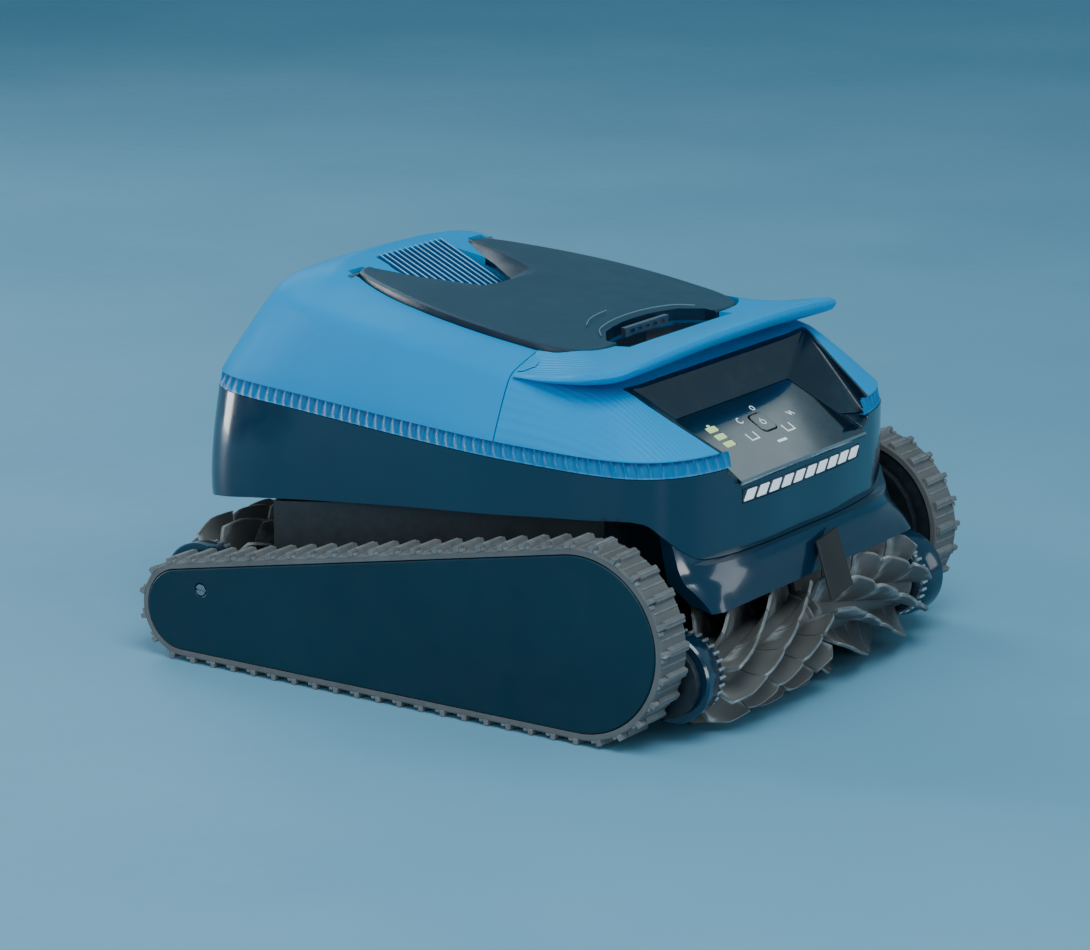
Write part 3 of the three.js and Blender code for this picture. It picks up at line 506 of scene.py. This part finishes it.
def lid_body(name, grow, drop, rise, notch=True, rounded=False):
    if rounded:
        edge = ((1.2, -drop), (0, -drop + 1.2), (0, -2.4), (0.5, -0.9), (1.6, -0.1), (3, rise))
        rings = [lid_ring(grow - tuck, lift) for tuck, lift in edge]
    else:
        rings = [lid_ring(grow, -drop), lid_ring(grow, rise)]
    body = dome(name, rings)
    if notch:
        wedge = [(-66 + grow, 120), (0, 38 + grow), (66 - grow, 120)]
        combine(body, [prism("wedge", "z", wedge, 150, 300)])
    return body


def finger_space(grow, z0, z1):
    x = 60 + grow
    line = [(44 + grow, -69 + grow), (30, -65.5 + grow), (16, -63.4 + grow), (0, -62.8 + grow)]
    line = line + [(-a, b) for a, b in line[-2::-1]]
    return prism("finger", "z", [(-x, -100), (x, -100), (x, -80)] + line + [(-x, -80)], z0, z1)


RAMP = {"y0": 40, "y1": 120, "z1": 257, "slope": math.tan(math.radians(25)), "x": 37.5}




def both_sides(half):
    """Line through points mirrored in X; the last point lies on the middle plane."""
    return [(-x, y) for x, y in half[:-1]] + half[::-1]


DECK = both_sides([(66, 122), (56, 106), (34, 75), (12, 48), (6, 43), (0, 41.6)])


def ramp_space(grow, sink):
    x, y0, y1, z1 = RAMP["x"], RAMP["y0"], RAMP["y1"], RAMP["z1"]
    low = z1 - (y1 - y0) * RAMP["slope"]
    outline = [(y0 - grow, low - sink), (y1 + grow, z1 - sink), (y1 + grow, 290), (y0 - grow, 290)]
    return prism("ramp", "x", outline, -x - grow, x + grow)


def slab(y0, y1):
    return block("slab", -200, 200, y0, y1, 100, 300)


# ---------------------------------------------------------------- covers

def fluted_band():
    """Scalloped skirt under the cover: each flute is deepest at its top."""
    edge = np.column_stack([FINE[:, 0], FINE[:, 1], edge_height(FINE[:, 1])])
    ring = mirrored_ring(edge)
    loop = np.vstack([ring, ring[0]])
    length = np.concatenate([[0], np.cumsum(np.linalg.norm(np.diff(loop, axis=0), axis=1))])
    cells = int(round(length[-1] / 7.8))
    samples = [0, 0.06, 0.14, 0.3, 0.5, 0.7, 0.86, 0.94]
    rows = []
    for height, depth in ((0, 0.3), (0.12, 0.5), (0.4, 1.2), (0.75, 2.2), (0.95, 2.7)):
        row = []
        for c in range(cells):
            for s in samples:
                lean = 0.25 * (1 - height)
                at = ((c + s + lean) / cells % 1) * length[-1]
                p = np.array([np.interp(at, length, loop[:, k]) for k in range(3)])
                cup = (1 - abs(2 * s - 1) ** 3) * depth
                lean_in = 1 - 0.008 * height
                shrink = [lean_in - cup / HALF_WIDTH, lean_in - cup / HALF_LENGTH, 1]
                row.append(p * shrink + [0, 0, height * (BAND - 0.4)])
        rows.append(np.array(row))
    inner = rows[0] * [1 - 3.4 / HALF_WIDTH, 1 - 3.4 / HALF_LENGTH, 1] + [0, 0, 0.2]
    return loft("cover_band", [inner] + rows, caps=False)


outer = dome("outer", cover_rows())
inner = dome("inner", cover_rows(WALL + 0.8, 14, False))
shell = combine(outer, [inner])
pocket = lid_body("pocket", 0.7, 9.2, 40, notch=False)
pocket = combine(pocket, [block("hinge_room", -77, 77, 100, 114.2, 241.8, 290)], "UNION")
pocket = combine(pocket, [prism("deck", "z", DECK, 150, 300)])
mouth = block("mouth", -82, 82, -50, 34, 120, 290)
shell = combine(shell, [pocket, mouth, finger_space(3.5, 210, 290), ramp_space(0.3, 8.5)])
front = clone(shell)
duct = rod("duct", "z", 0, 91, 42, 120, 290)
duct = combine(duct, [block("duct_box", -48, 48, 36, 116, 100, 300)], "INTERSECT")
rear = combine(shell, [duct])
rear = combine(rear, [slab(SEAM_Y + 0.45, 240)], "INTERSECT")
front = combine(front, [slab(-240, SEAM_Y - 0.45)], "INTERSECT")
front = combine(front, [recess_space(2.9), visor_body("visor_space", 0.5)])
finish_piece(soften(rear, 0.45, 2), "rear_cover_moulding", BLUE, hides=["rear_cover"])
finish_piece(soften(front, 0.45, 2), "front_cover_moulding", BLUE_FINE, hides=["front_cover"])
band = fluted_band()
bm = bmesh.new()
bm.from_mesh(band.data)
cut = [f for f in bm.faces if abs(f.calc_center_median().x) < 0.084 and f.calc_center_median().y < -0.15]
bmesh.ops.delete(bm, geom=cut, context="FACES")
bm.to_mesh(band.data)
bm.free()
# The band's darker blue is painted shade and its light rib edges are a painted highlight.
finish_piece(band, "cover_fluted_band", BLUE_BAND_SHADE_AND_HIGHLIGHT, smooth=50)
visor = combine(visor_body("visor"), [finger_space(3.5, 205, 290)])
finish_piece(soften(visor, 0.4, 2), "handle_moulding", BLUE_FINE, hides=["handle_visor"])

# ---------------------------------------------------------------- body, hood, recess and panel


def body_rings(inset, bottom, extra=0.0):
    levels = ((bottom, 0.04), (bottom + 14, 0.06), (135, 0.045))
    rings = [body_ring(z, growth, inset) for z, growth in levels]
    top = body_ring(0, -0.005, inset)
    top[:, 2] = edge_height(top[:, 1]) - 0.3 + extra
    rings.append(top)
    return list(spline(np.array(rings).reshape(4, -1), 3).reshape(-1, len(top), 3))


body_outer = dome("body_outer", body_rings(0, 88))
hull = combine(clone(body_outer), [dome("outer_again", cover_rows())], "UNION")
body = combine(body_outer, [dome("body_inner", body_rings(4, 80, 6)), below_lower_edge(), recess_space(2.9),
                            block("lamp", -74, 74, -205, -190.6, 137, 146.6)])
finish_piece(soften(body, 0.7, 3), "body_moulding", NAVY, hides=["body_shell"])

TILT = math.atan2(29.4, 52)


def on_panel(u, v, w=0.0):
    """Point on the panel: across, down its slope from the back edge, and out of its face."""
    c, s = math.cos(TILT), math.sin(TILT)
    return (u, -139 - v * c - w * s, 184 - v * s + w * c)


def panel_slab(name, outline, low, high):
    return loft(name, [[on_panel(u, v, w) for u, v in outline] for w in (low, high)])


def rounded(half_u, half_v, radius, u=0.0, v=0.0, n=6):
    points = []
    for cu, cv, start in ((1, 1, 0), (-1, 1, 90), (-1, -1, 180), (1, -1, 270)):
        for k in range(n + 1):
            a = math.radians(start + 90 * k / n)
            corner = u + cu * (half_u - radius), v + cv * (half_v - radius)
            points.append((corner[0] + radius * math.cos(a), corner[1] + radius * math.sin(a)))
    return points


panel_line = [(-68.5, 0.6), (68.5, 0.6), (78.5, 63.4), (-78.5, 63.4)]
panel_cut = panel_slab("panel_cut", [(-69.3, -0.3), (69.3, -0.3), (79.4, 66), (-79.4, 66)], -8, 0.4)
walls = combine(recess_space(2.9), [recess_space(0), panel_cut])
walls = combine(walls, [hull, block("reach", -130, 130, -194.6, -90, 144, 264)], "INTERSECT")
walls = combine(walls, [visor_body("visor_space", 0.5)])
finish_piece(walls, "recess_lining", RECESS, hides=["recess_surround"], smooth=40)

BUTTON_V = 26
BATTERY_U, BATTERY_ROWS = -50, (17.5, 25, 32.5)
button_hole = panel_slab("button_hole", rounded(8.7, 8.7, 4, 0, BUTTON_V), -6, 2)
windows = [panel_slab("window", rounded(5.6, 2.7, 0.8, BATTERY_U, v), -6, 2) for v in BATTERY_ROWS]
plate = combine(panel_slab("plate", panel_line, -2.6, 0), [button_hole] + windows)
finish_piece(soften(plate, 0.35, 3), "panel_glass", PANEL, hides=["display_panel"])
LIP_SECTION = ((62.6, 0.05), (63.6, 0.25), (64.4, -0.4), (64.2, -2.4), (62.8, -2.4))
lip = loft("panel_lip", [[on_panel(x, v, w) for v, w in LIP_SECTION] for x in np.linspace(-78.4, 78.4, 24)])
finish_piece(lip, "panel_front_lip", LIP_GREY)
cap = panel_slab("cap", rounded(8.1, 8.1, 3.6, 0, BUTTON_V), -4, 0.55)
finish_piece(soften(cap, 0.6, 4), "power_button_cap", PANEL, body="power_button",
             hides=["power_button"])


def stroke(name, points, width, body="root", w=0.12, material=None):
    """Printed line on the panel or button, a few hundredths thick."""
    left, right = [], []
    p = [Vector((a, b)) for a, b in points]
    for i, q in enumerate(p):
        before = (q - p[i - 1]).normalized() if i else (p[1] - q).normalized()
        after = (p[i + 1] - q).normalized() if i + 1 < len(p) else before
        normal = Vector((-(before.y + after.y), before.x + after.x)).normalized()
        reach = width / 2 / max(0.4, normal.dot(Vector((-before.y, before.x))))
        left.append(q + normal * reach)
        right.append(q - normal * reach)
    n = len(p)
    points3 = [on_panel(a, b, w) for a, b in left] + [on_panel(a, b, w) for a, b in right]
    points3 += [on_panel(a, b, w - 0.1) for a, b in left] + [on_panel(a, b, w - 0.1) for a, b in right]
    faces = [(i, i + 1, n + i + 1, n + i) for i in range(n - 1)]
    faces += [(2 * n + i, 3 * n + i, 3 * n + i + 1, 2 * n + i + 1) for i in range(n - 1)]
    return mesh(name, points3, faces)




def arc_line(u, v, r, angles):
    return [(u + r * math.cos(a), v + r * math.sin(a)) for a in angles]


open_ring = arc_line(0, BUTTON_V, 2.3, [math.radians(a - 90) for a in range(40, 321, 20)])
sign = [stroke("a", open_ring, 0.6, w=0.68), stroke("b", [(0, 22.6), (0, 25.4)], 0.6, w=0.68)]
# The printed power sign glows with the white: painted glow.
finish_piece(join("button_sign", sign), "power_sign", WHITE, body="power_button", smooth=0)


def icon_u(u, v, half=4.4, tall=3.2):
    line = [(u - half, v - tall), (u - half, v + tall), (u + half, v + tall), (u + half, v - tall)]
    return stroke("u", line, 1.0)


marks = [icon_u(-23, 33.3), icon_u(17, 36.5), stroke("dash", [(-7, 44.6), (3.5, 44.6)], 2.0)]
marks += [stroke("arc", arc_line(-18, 18.7, 2.4, [a / 5 for a in range(3, 27)]), 0.7)]
marks += [stroke("zig", [(30.5, 24.6), (33.2, 28.2), (34.4, 25.2), (37, 28.8)], 0.7)]
marks += [stroke("dot_ring", arc_line(6, 12.6, 1.9, [a / 4 for a in range(26)]), 0.6)]
# The printed panel marks glow with the white: painted glow.
finish_piece(join("marks", marks), "panel_marks", WHITE, smooth=0)
cells = [panel_slab("cell", rounded(5.3, 2.4, 0.8, BATTERY_U, v), -3.5, 0.15) for v in BATTERY_ROWS]
cells.append(panel_slab("cell_tip", rounded(1.6, 0.9, 0.4, BATTERY_U, 13.9), -3, 0.15))
finish_piece(soften(join("cells", cells), 0.25, 2), "battery_cells", GREEN,
             hides=["battery_light"])



def lamp_front(x):
    """Front of the light bar, which follows the curve of the body."""
    return -194.4 + 2.2 * (x / 75) ** 2


lamps = []
for i in range(10):
    x = -65.2 + i * 14.5
    outline = [(x - 7.2, 138.5), (x + 2.4, 138.5), (x + 7.0, 145.3), (x - 2.6, 145.3)]
    rings = [[(a, lamp_front(a) + back, b) for a, b in outline] for back in (1.2, -0.5)]
    lamps.append(loft("lamp", rings))
finish_piece(soften(join("lamps", lamps), 0.3, 2), "light_segments", WHITE,
             hides=["light_bar"])


def backing_ring(x, low=137.2, high=146.4, rear=-188):
    face = lamp_front(x) + 0.4
    return [(x, face, low), (x, face, high), (x, rear, high), (x, rear, low)]


# The backing behind the lamp segments takes the darker slate: painted shade in the gaps between the segments.
backing = loft("lamp_back", [backing_ring(x) for x in np.linspace(-73.6, 73.6, 13)])
finish_piece(backing, "light_backing", SLATE_PAINTED_SHADE)

HOOD = {"y": -187, "z": 41, "r": 42.8}


def hood_arc(degrees):
    a = math.radians(degrees)
    return (HOOD["y"] - HOOD["r"] * math.cos(a), HOOD["z"] + HOOD["r"] * math.sin(a))


def hood_sections():
    outer_line = [(-199.5, None), (-202, 98), (-204.2, 91), (-205.8, 85), (-207.3, 79.6)]
    inner_line = [hood_arc(a) for a in (63, 70, 80)] + [(-190.5, 96), (-189, None)]
    near_bottom = [0, 0.3, 0.6, 0.85, 1, 1, 0.95, 0.85, 0.3, 0]
    half = spline([(0, 0, 0, 0), (45, 0, 45, 0), (82, 1, 80, 0), (105, 6.5, 103, 0),
                   (121, 15, 119, 0.5), (131, 25, 127, 4)], 5)
    out = []
    for top_x, top_shift, bottom_x, bottom_shift in half:
        ring = []
        for (y, z), t in zip(outer_line + inner_line, near_bottom):
            py = y + top_shift * (1 - t) + bottom_shift * t
            ring.append((top_x * (1 - t) + bottom_x * t, py, z if z else lower_edge_height(py) + 2))
        front_side = spline(ring[:5], 3)
        out.append(np.vstack([front_side, ring[5:]]))
    return [r * [-1, 1, 1] for r in out[1:]][::-1] + out


hood = combine(loft("hood", hood_sections()), [below_lower_edge(-0.5)], "INTERSECT")
finish_piece(soften(hood, 0.6, 3), "front_hood", NAVY, hides=["front_bumper"])

# ---------------------------------------------------------------- lid and grille

lid = lid_body("lid", 0, 8, 0, notch=False, rounded=True)
NOTCH_TOP = [(60, 126), (58, 106), (49, 72), (40, 43), (34, 37.5), (20, 35.3), (0, 34.6)]
NOTCH_LOW = [(54, 126), (52, 106), (36, 74), (15, 46.5), (9, 41.5), (4.5, 39.3), (0, 38.6)]


def sunk(x, y, drop):
    """Height below the lid's curved top; the drop fades towards the rear."""
    return lid_height(x, y) - drop * min(1, (112 - y) / 60 + 0.55)


def notch_ring(line, height):
    """Mirrored outline of the notch, with its heights from a function of x and y."""
    half = [(x, y, height(x, y)) for x, y in line]
    return half + [(-x, y, z) for x, y, z in half[-2::-1]]


wedge = loft("wedge", [
    notch_ring(NOTCH_TOP, lambda x, y: 290),
    notch_ring(NOTCH_TOP, lambda x, y: sunk(x, y, -0.3)),
    notch_ring(NOTCH_LOW, lambda x, y: sunk(x, y, 5.6)),
    notch_ring(NOTCH_LOW, lambda x, y: 200),
])
lid = combine(lid, [wedge, finger_space(0, 150, 300), rod("pin_hole", "x", 109, 249.5, 1.9, -92, 92, 20)])
finish_piece(soften(lid, 0.5, 3), "lid_moulding", SLATE, body="filter_lid", hides=["filter_lid"])
lid.data.materials.append(SLATE_PAINTED_SHADE)


def in_facet(point):
    """Whether a point of the lid, in metres, lies on the sunk faces beside the notch."""
    return abs(point.x) < 0.06 and 0.036 < point.y


# Steep faces of the lid, and the sunk faces beside the notch, take the darker slate: painted shade on the
# faces that turn away from the light.
for polygon in lid.data.polygons:
    steep = polygon.normal.z < (0.965 if in_facet(polygon.center) else 0.55)
    polygon.material_index = 1 if steep else 0


def lid_line(name, points, width=0.7):
    curve = [(x, y, lid_height(x, y) + 0.12) for x, y in spline(points, 8)]
    side = [Vector((b[1] - a[1], a[0] - b[0], 0)).normalized() for a, b in zip(curve, curve[1:])]
    side.append(side[-1])
    section = ((-width / 2, -0.3), (-width / 4, 0), (width / 4, 0), (width / 2, -0.3))
    rings = [[(p[0] - s.x * w, p[1] - s.y * w, p[2] + h) for w, h in section]
             for p, s in zip(curve, side)]
    return loft(name, rings)


arc = lid_line("arc", [(-47, -56), (-34, -50), (-20, -47), (-8, -46)])
rim_half = [(57, -74), (47, -66.4), (32, -62), (16, -59.6), (0, -59)]
rimline = lid_line("rimline", both_sides(rim_half), 0.8)
finish_piece(join("lid_lines", [arc, rimline]), "lid_trim_lines", TRIM_LINE,
             body="filter_lid")

slats = []
x0, y0, y1, z1 = RAMP["x"], RAMP["y0"], RAMP["y1"], RAMP["z1"]


def ramp_z(y, drop):
    return z1 - (y1 - y) * RAMP["slope"] - drop


def slat(a, b, top, depth):
    low, high = y0 + 1, y1 - 1
    corners = ((low, top), (high, top), (high, top + depth), (low, top + depth))
    outline = [(y, ramp_z(y, drop)) for y, drop in corners]
    return prism("slat", "x", outline, a, b)


plate = slat(-x0 + 0.5, x0 - 0.5, 4.2, 2.5)
LOUVRES = np.linspace(-x0 + 2.5, x0 - 2.5, 13)
for at in LOUVRES:
    slats.append(slat(at - 0.75, at + 0.75, 0.3, 4.5))
grille = join("grille", [plate] + slats)
# Light strips along the top of each louvre: painted highlight on the slat edges.
highlight_tips = join("louvre_highlight_tips", [slat(at - 0.6, at + 0.6, 0.05, 0.5) for at in LOUVRES])
finish_piece(highlight_tips, "louvre_highlight_edges", LOUVRE_PAINTED_HIGHLIGHT, smooth=0)
finish_piece(soften(grille, 0.3, 2), "outlet_louvres", LOUVRE_BLUE, hides=["outlet_grille"])

# ---------------------------------------------------------------- tracks

FRONT_WHEEL = (-143.2, 65, 56.8)
REAR_WHEEL = (172.7, 35.5, 27.3)
SCREW = (155, 52)


def track_outline(grow, step=2.5):
    (fy, fz, fr), (ry, rz, rr) = FRONT_WHEEL, REAR_WHEEL
    tangent = math.acos((fr - rr) / math.hypot(ry - fy, rz - fz))
    base = math.atan2(rz - fz, ry - fy)

    def arc(y, z, r, a, b):
        count = max(2, math.ceil(abs(b - a) / math.radians(step)))
        turns = [a + (b - a) * i / count for i in range(count + 1)]
        return [(y + (r + grow) * math.cos(turn), z + (r + grow) * math.sin(turn)) for turn in turns]

    front_arc = arc(fy, fz, fr, base + tangent, base + 2 * math.pi - tangent)
    return front_arc + arc(ry, rz, rr, base - tangent, base + tangent)


def track_belt(side):
    outline = track_outline(5)
    inside = track_outline(0.5)
    n = len(outline)
    profile = []
    for (oy, oz), (iy, iz) in zip(outline, inside):
        my, mz = oy * 0.8 + iy * 0.2, oz * 0.8 + iz * 0.2
        profile.append([(159.3, iy, iz), (159.3, my, mz), (160.2, oy, oz),
                        (187, oy, oz), (188, my, mz), (188, iy, iz)])
    faces = []
    for i in range(n):
        for k in range(6):
            after, beside = (i + 1) % n, (k + 1) % 6
            faces.append((i * 6 + k, i * 6 + beside, after * 6 + beside, after * 6 + k))
    parts = [mesh("belt_ring", np.array(profile).reshape(-1, 3) * [side, 1, 1], faces)]
    loop = np.array(outline + [outline[0]])
    length = np.concatenate([[0], np.cumsum(np.linalg.norm(np.diff(loop, axis=0), axis=1))])
    lugs = int(round(length[-1] / 16.9))

    def at(s, lift):
        s = s % length[-1]
        k = int(np.searchsorted(length, s, side="right")) - 1
        t = (s - length[k]) / (length[k + 1] - length[k])
        p = loop[k] * (1 - t) + loop[k + 1] * t
        d = (loop[k + 1] - loop[k]) / np.linalg.norm(loop[k + 1] - loop[k])
        return p[0] + d[1] * lift, p[1] - d[0] * lift

    def bar(start, shape, a, b):
        ring = [at(start + s, h) for s, h in shape]
        return loft("bar", [[(side * x, u, v) for u, v in ring] for x in (a, b)])

    main = [(-0.2, -0.8), (0.7, 2.7), (1.2, 3.15), (3.3, 3.15),
            (3.5, 2.75), (5.4, 2.75), (5.9, 2.3), (6.8, -0.8)]
    end = [(1.4, -0.8), (1.8, 2.9), (2.2, 3.15), (4.6, 3.15), (5.0, 2.9), (5.4, -0.8)]
    low = [(10.6, -0.6), (10.9, 0.45), (12.2, 0.45), (12.5, -0.6)]
    web = [(5.6, -0.6), (5.9, 1.1), (8.4, 1.1), (8.8, -0.6)]
    for i in range(lugs):
        start = i * length[-1] / lugs
        parts.append(bar(start, main, 160.6, 182.2))
        parts.append(bar(start, end, 181.8, 188.3))
        parts.append(bar(start, low, 160.3, 186.5))
        parts.append(bar(start, web, 184.2, 188.1))
    return join("belt", parts)


for name, side in SIDES:
    finish_piece(soften(track_belt(side), 0.3, 2, 30), f"tread_belt_{name}", RUBBER,
                 hides=[f"track_belt_{name}"])
    a, b = sorted((side * 183, side * 188.5))
    cover = prism("cover", "x", track_outline(-0.1), a, b)
    cover = combine(cover, [rod("screw_room", "x", *SCREW, 4.5, *sorted((side * 185.6, side * 190)), 32)])
    finish_piece(soften(cover, 1.3, 4, 50), f"side_panel_{name}", COVER_NAVY,
                 hides=[f"side_cover_{name}"])
    head = rod("head", "x", *SCREW, 3.8, *sorted((side * 185.9, side * 188.3)), 32)
    head = combine(head, [block("slot", *sorted((side * 187.4, side * 190)), 151, 159, 51.4, 52.6)])
    finish_piece(soften(head, 0.4, 3, 50), f"screw_head_{name}", STEEL,
                 hides=[f"side_cover_screw_{name}"])

# ---------------------------------------------------------------- brush rollers

BRUSH_Y, BRUSH_Z, BRUSH_R, CORE_R = 187, 41, 40.9, 17
VANE_COUNT = 9
VANE_TWIST, ROLLER_LENGTH = 95, 124
RIBS = 30


def roller(end, side):
    """Chevron vanes in five leaves each, on a waisted core with a collar at its inner end."""
    parts = []
    leaves = [(4.0, 26.5), (27.7, 49.5), (50.7, 73), (74.2, 98), (99.2, 124)]
    for v in range(VANE_COUNT):
        for n_leaf, (xa, xb) in enumerate(leaves):
            rows = []
            steps = 7
            for i in range(steps + 1):
                t = i / steps
                x = xa + (xb - xa) * t
                twist = math.radians(VANE_TWIST * x / ROLLER_LENGTH + 360 * v / VANE_COUNT)
                crown = 1 - (2 * t - 1) ** 4
                tip = BRUSH_R - 2.6 + 2.6 * crown
                if n_leaf == 4:
                    tip = BRUSH_R - 0.2 - 5.5 * max(0, t - 0.55) / 0.45
                if n_leaf == 0:
                    tip = BRUSH_R - 7 * max(0, 0.4 - t) / 0.4 - 0.4
                row = []
                half_widths = ((CORE_R - 2, 1.7), (24, 1.35), (32, 1.15),
                               (tip - 2.2, 1.05), (tip - 0.5, 1.25), (tip, 0.6))
                for r, w in half_widths:
                    lean = math.radians(9) * ((r - 15) / 26) ** 2
                    row.append((r, w, twist - lean))
                ring = row + [(r, -w, a) for r, w, a in row[::-1]]
                rows.append([(x, r * math.cos(a) - w * math.sin(a), r * math.sin(a) + w * math.cos(a))
                             for r, w, a in ring])
            parts.append(loft("leaf", rows))
    core = [(2.8, 6), (2.8, 15), (4, 19.5), (6.4, 19.5), (7.4, 17.6), (12, CORE_R),
            (60, CORE_R - 1.2), (116, CORE_R), (120, 19.5), (123.4, 19.8), (124.4, 18), (124.4, 6)]
    parts.append(lathe("core", core, (0, 0)))
    body = join("roller", parts)
    flip = np.array([side, 1 if end < 0 else -1, 1])
    for vertex in body.data.vertices:
        x, y, z = vertex.co
        vertex.co = (x * flip[0], y * flip[1] + end * BRUSH_Y * MM, z + BRUSH_Z * MM)
    if flip[0] * flip[1] < 0:
        body.data.flip_normals()
    return body


for end_name, end in (("front", -1), ("rear", 1)):
    for name, side in SIDES:
        body_name = f"{end_name}_brush_{name}"
        finish_piece(soften(roller(end, side), 0.3, 2, 40), f"{end_name}_vanes_{name}", VANE,
                     body=body_name, hides=[body_name], smooth=50)
        drum = [(125.5, 6), (125.5, 21), (126.2, 23.6), (127.6, 24.6), (129.4, 24.6),
                (130.2, 23.4), (132, 25.4), (138, 28.6), (150, 29.2), (151.4, 28),
                (151.4, 6)]
        piece = lathe("drum", [(side * x, r) for x, r in drum], (end * BRUSH_Y, BRUSH_Z), 72)
        finish_piece(piece, f"{end_name}_drum_{name}", NAVY,
                     hides=[f"{end_name}_brush_hub_{name}"], smooth=40)
        ribs = []
        for k in range(RIBS):
            a = 2 * math.pi * k / RIBS
            y, z = end * BRUSH_Y + 25.4 * math.cos(a), BRUSH_Z + 25.4 * math.sin(a)
            ribs.append(rod("rib", "x", y, z, 1.3, *sorted((side * 127, side * 133.5)), 8))
        finish_piece(join("ribs", ribs), f"{end_name}_drum_splines_{name}", SPLINE_METAL,
                     smooth=60)


guard = loft("flap", [[(-17, -226, 66), (-17, -224, 66), (-4, -204.5, 99), (-4, -206.5, 99)],
                      [(5, -229, 72), (5, -227, 72), (22, -204, 103), (22, -206, 103)]])
finish_piece(soften(guard, 0.5, 2), "roller_flap", FLAP)

# ---------------------------------------------------------------- the rest of the CAD nodes

NODE_MATERIALS = {
    "track_belt": RUBBER, "side_cover_screw": STEEL, "side_cover": COVER_NAVY, "filter_lid": SLATE,
    "brush_hub": NAVY, "brush_axle": STEEL, "brush_bracket": BLACK, "_brush_": VANE,
    "display": PANEL, "power_button": PANEL, "recess": RECESS, "finger": RECESS,
    "battery_light": GREEN, "light_bar": WHITE, "lid_latch": STEEL, "hinge_pin": STEEL,
    "axle": STEEL, "pinion": STEEL, "motor": MOTOR, "battery_pack": MOTOR, "control_box": MOTOR,
    "filter_screen": MESH, "flap": FLAP, "body_shell": NAVY, "front_bumper": NAVY, "grille": BLUE,
}

for name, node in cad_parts.items():
    chosen = next((m for key, m in NODE_MATERIALS.items() if key in name), BLACK)
    node.data.materials.clear()
    node.data.materials.append(chosen)
    soften(node, 0.4, 2)

# ---------------------------------------------------------------- camera, floor, light

camera_data = bpy.data.cameras.new("camera")
camera_data.sensor_width = 36
camera_data.lens = 127.8
camera = bpy.data.objects.new("camera", camera_data)
bpy.context.scene.collection.objects.link(camera)
right = Vector((0.5608, -0.8279, 0))
up = Vector((0.2061, 0.1396, 0.9685))
back = Vector((-0.8019, -0.5432, 0.2489))
camera.matrix_world = Matrix(((right.x, up.x, back.x, -2.0914), (right.y, up.y, back.y, -1.4085),
                              (right.z, up.z, back.z, 0.7606), (0, 0, 0, 1)))
bpy.context.scene.camera = camera

FLOOR = surface("floor_plain", "6fa3bd", "78abc4", 0.6, 0.1, 300, 0.05, big=3, spec=0.2)
FLOOR_CORNERS = [(-6000, -6000, -0.2), (6000, -6000, -0.2), (6000, 9000, -0.2), (-6000, 9000, -0.2)]
floor = mesh("floor", FLOOR_CORNERS, [(0, 1, 2, 3)])
floor.data.materials.append(FLOOR)


def area_light(name, at, target, size, power, colour=(1, 1, 1), size_y=None):
    data = bpy.data.lights.new(name, "AREA")
    data.shape = "RECTANGLE"
    data.size, data.size_y = size, size_y or size
    data.energy = power
    data.color = colour
    light = bpy.data.objects.new(name, data)
    bpy.context.scene.collection.objects.link(light)
    light.location = at
    light.rotation_euler = (Vector(target) - Vector(at)).to_track_quat("-Z", "Y").to_euler()
    return light


area_light("key", (-0.9, -1.0, 2.1), (0, 0, 0.1), 1.3, 38, (0.82, 0.96, 1.0))
area_light("fill", (-2.4, 0.2, 1.0), (0, 0, 0.1), 1.6, 14, (0.85, 0.94, 1.0))
area_light("front", (1.2, -2.2, 0.9), (0, -0.2, 0.1), 1.2, 10, (0.9, 0.96, 1.0))
area_light("back", (0.8, 1.8, 1.6), (0, 0, 0.2), 1.4, 16, (0.85, 0.95, 1.0))
area_light("panel_glow", (1.5, -0.1, 1.18), (0, -0.165, 0.17), 0.1, 0.045, (0.8, 0.95, 1.0), 0.12)
area_light("rear_rim", (-0.7, 2.0, 0.4), (-0.1, 0.15, 0.12), 0.5, 16, (0.95, 0.98, 1.0), 0.8)
area_light("corner", (-1.1, -2.3, 0.45), (-0.1, -0.15, 0.1), 0.3, 6, (0.95, 0.98, 1.0), 0.8)
world = bpy.data.worlds.new("studio")
bpy.context.scene.world = world
world.use_nodes = True
world.node_tree.nodes["Background"].inputs[0].default_value = (0.3, 0.56, 0.72, 1)
world.node_tree.nodes["Background"].inputs[1].default_value = 0.55
